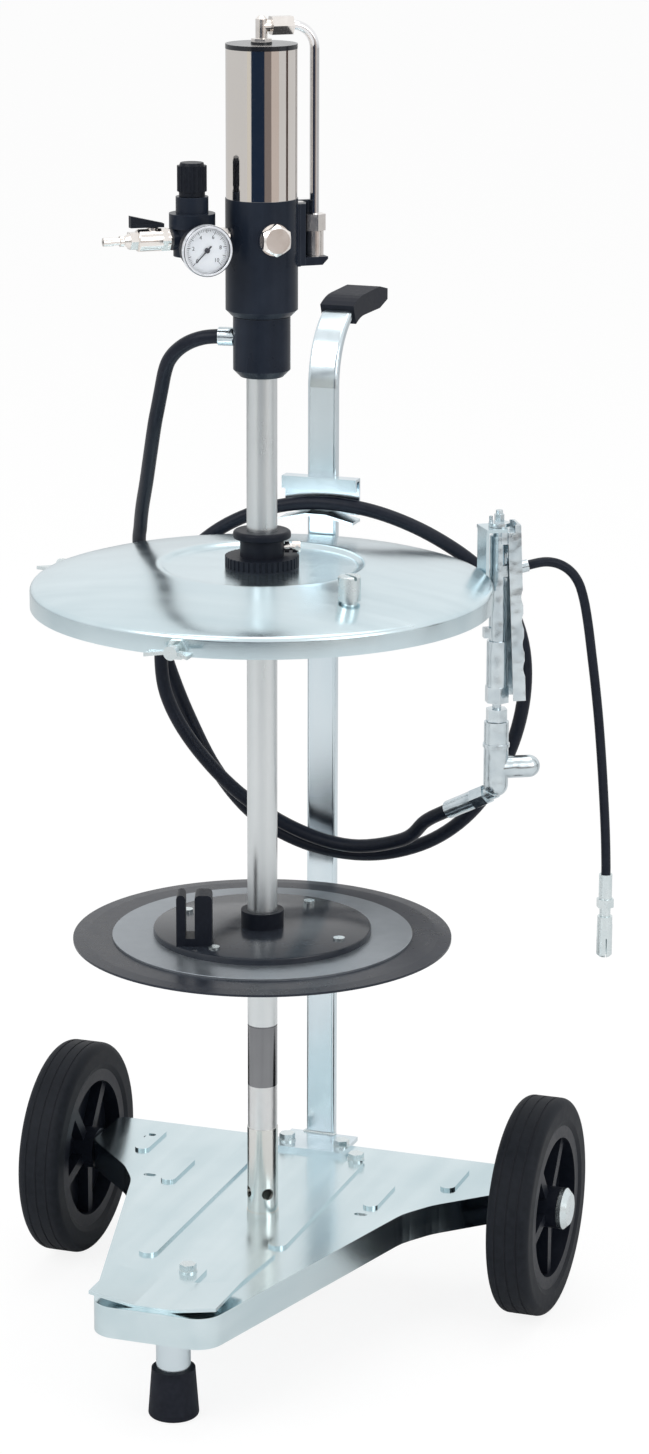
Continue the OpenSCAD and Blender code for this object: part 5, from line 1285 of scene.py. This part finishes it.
@dataclass
class WeldBead:
    """A row of overlapping drops of weld metal along a line."""

    pitch: float = 1.7
    drop_r: float = 1.9
    least: float = 0.85
    most: float = 1.15
    seed: int = 5

    def mesh(self, line: Sequence[Point], finish: Finish) -> bpy.types.Mesh:
        """Grows the bead.

        Args:
            line: The seam's corners in millimetres.
            finish: What it is dressed in.

        Returns:
            The bead, one closed drop beside the next.
        """
        base = straight_line("seam", [Vector(corner) * MM for corner in line])
        grow = GrowTree("weld_bead", {"Pitch": 0.002, "Drop": 0.002, "Seed": self.seed})
        pen = grow.pen
        points = pen.add("GeometryNodeCurveToPoints")
        points.mode = "LENGTH"
        pen.join(grow.entry.outputs["Geometry"], points.inputs["Curve"])
        pen.join(grow.size("Pitch"), points.inputs["Length"])
        drop = pen.add("GeometryNodeMeshIcoSphere", Subdivisions=3)
        pen.join(grow.size("Drop"), drop.inputs["Radius"])
        spread = pen.add("FunctionNodeRandomValue")
        spread.data_type = "FLOAT"
        spread.inputs[2].default_value = self.least
        spread.inputs[3].default_value = self.most
        pen.join(grow.size("Seed"), spread.inputs["Seed"])
        put = pen.add("GeometryNodeInstanceOnPoints")
        pen.join(points.outputs["Points"], put.inputs["Points"])
        pen.join(drop.outputs["Mesh"], put.inputs["Instance"])
        pen.join(spread.outputs[1], put.inputs["Scale"])
        grow.close(put.outputs[0], finish)
        return grow.grow(base, Pitch=self.pitch * MM, Drop=self.drop_r * MM, Seed=self.seed)


@dataclass
class Trolley:
    """The deck, post, handle, foot and wheels."""

    post_half: float = 14.0
    post_x: float = -4.0
    post_front: float = 153.0
    plate_top: float = 119.5
    weld_out: float = 0.3
    weld_in: float = 0.2
    weld_run: float = 2.2

    def build(self) -> None:
        """Dresses the trolley's nodes and welds the post to its foot plate."""
        Bench.dress(["deck", "nose_saddle"], ZINC_DECK)
        Bench.dress(["post", "front_leg", "hose_hanger"], ZINC_POST)
        Bench.dress(["trolley_fasteners"], BOLT_ZINC)
        Bench.dress(["axle"], HIDDEN_STEEL)
        Bench.dress(["foot_tip", "handle_grip"], SOFT_RUBBER)
        Bench.dress(["left_tyre", "right_tyre"], TYRE_RUBBER)
        Bench.dress(["left_rim", "right_rim", "wheel_bushes"], BLACK_PLASTIC)
        left = self.post_x - self.post_half - self.weld_out
        right = self.post_x + self.post_half + self.weld_out
        back = self.post_front + self.weld_run
        seam = [
            (left, back, self.plate_top), (left, self.post_front, self.plate_top),
            (right, self.post_front - self.weld_in, self.plate_top), (right, back, self.plate_top),
        ]
        Bench.piece("post_weld", WeldBead().mesh(seam, BOLT_ZINC), Body.TROLLEY, "zinc_sheet")


@dataclass
class Gun:
    """The lever gun, its swivel and the coupler on the whip."""

    def build(self) -> None:
        """Dresses the gun's nodes."""
        Bench.dress(["gun_body", "swivel_body", "hose_fittings"], GUN_STEEL)
        Bench.dress(["trigger", "trigger_pin", "valve_stem"], GUN_STEEL)
        Bench.dress(["whip_coupler"], BOLT_ZINC)


def main() -> None:
    """Builds the studio, the hoses and then each sub-assembly."""
    logging.basicConfig(level=logging.INFO, format="%(message)s")
    for part in (Studio(), Hoses(), PumpUnit(), AirLine(), Lid(), Follower(), Trolley(), Gun()):
        part.build()
        log.info("built %s", type(part).__name__)


if __name__ == "__main__":
    main()
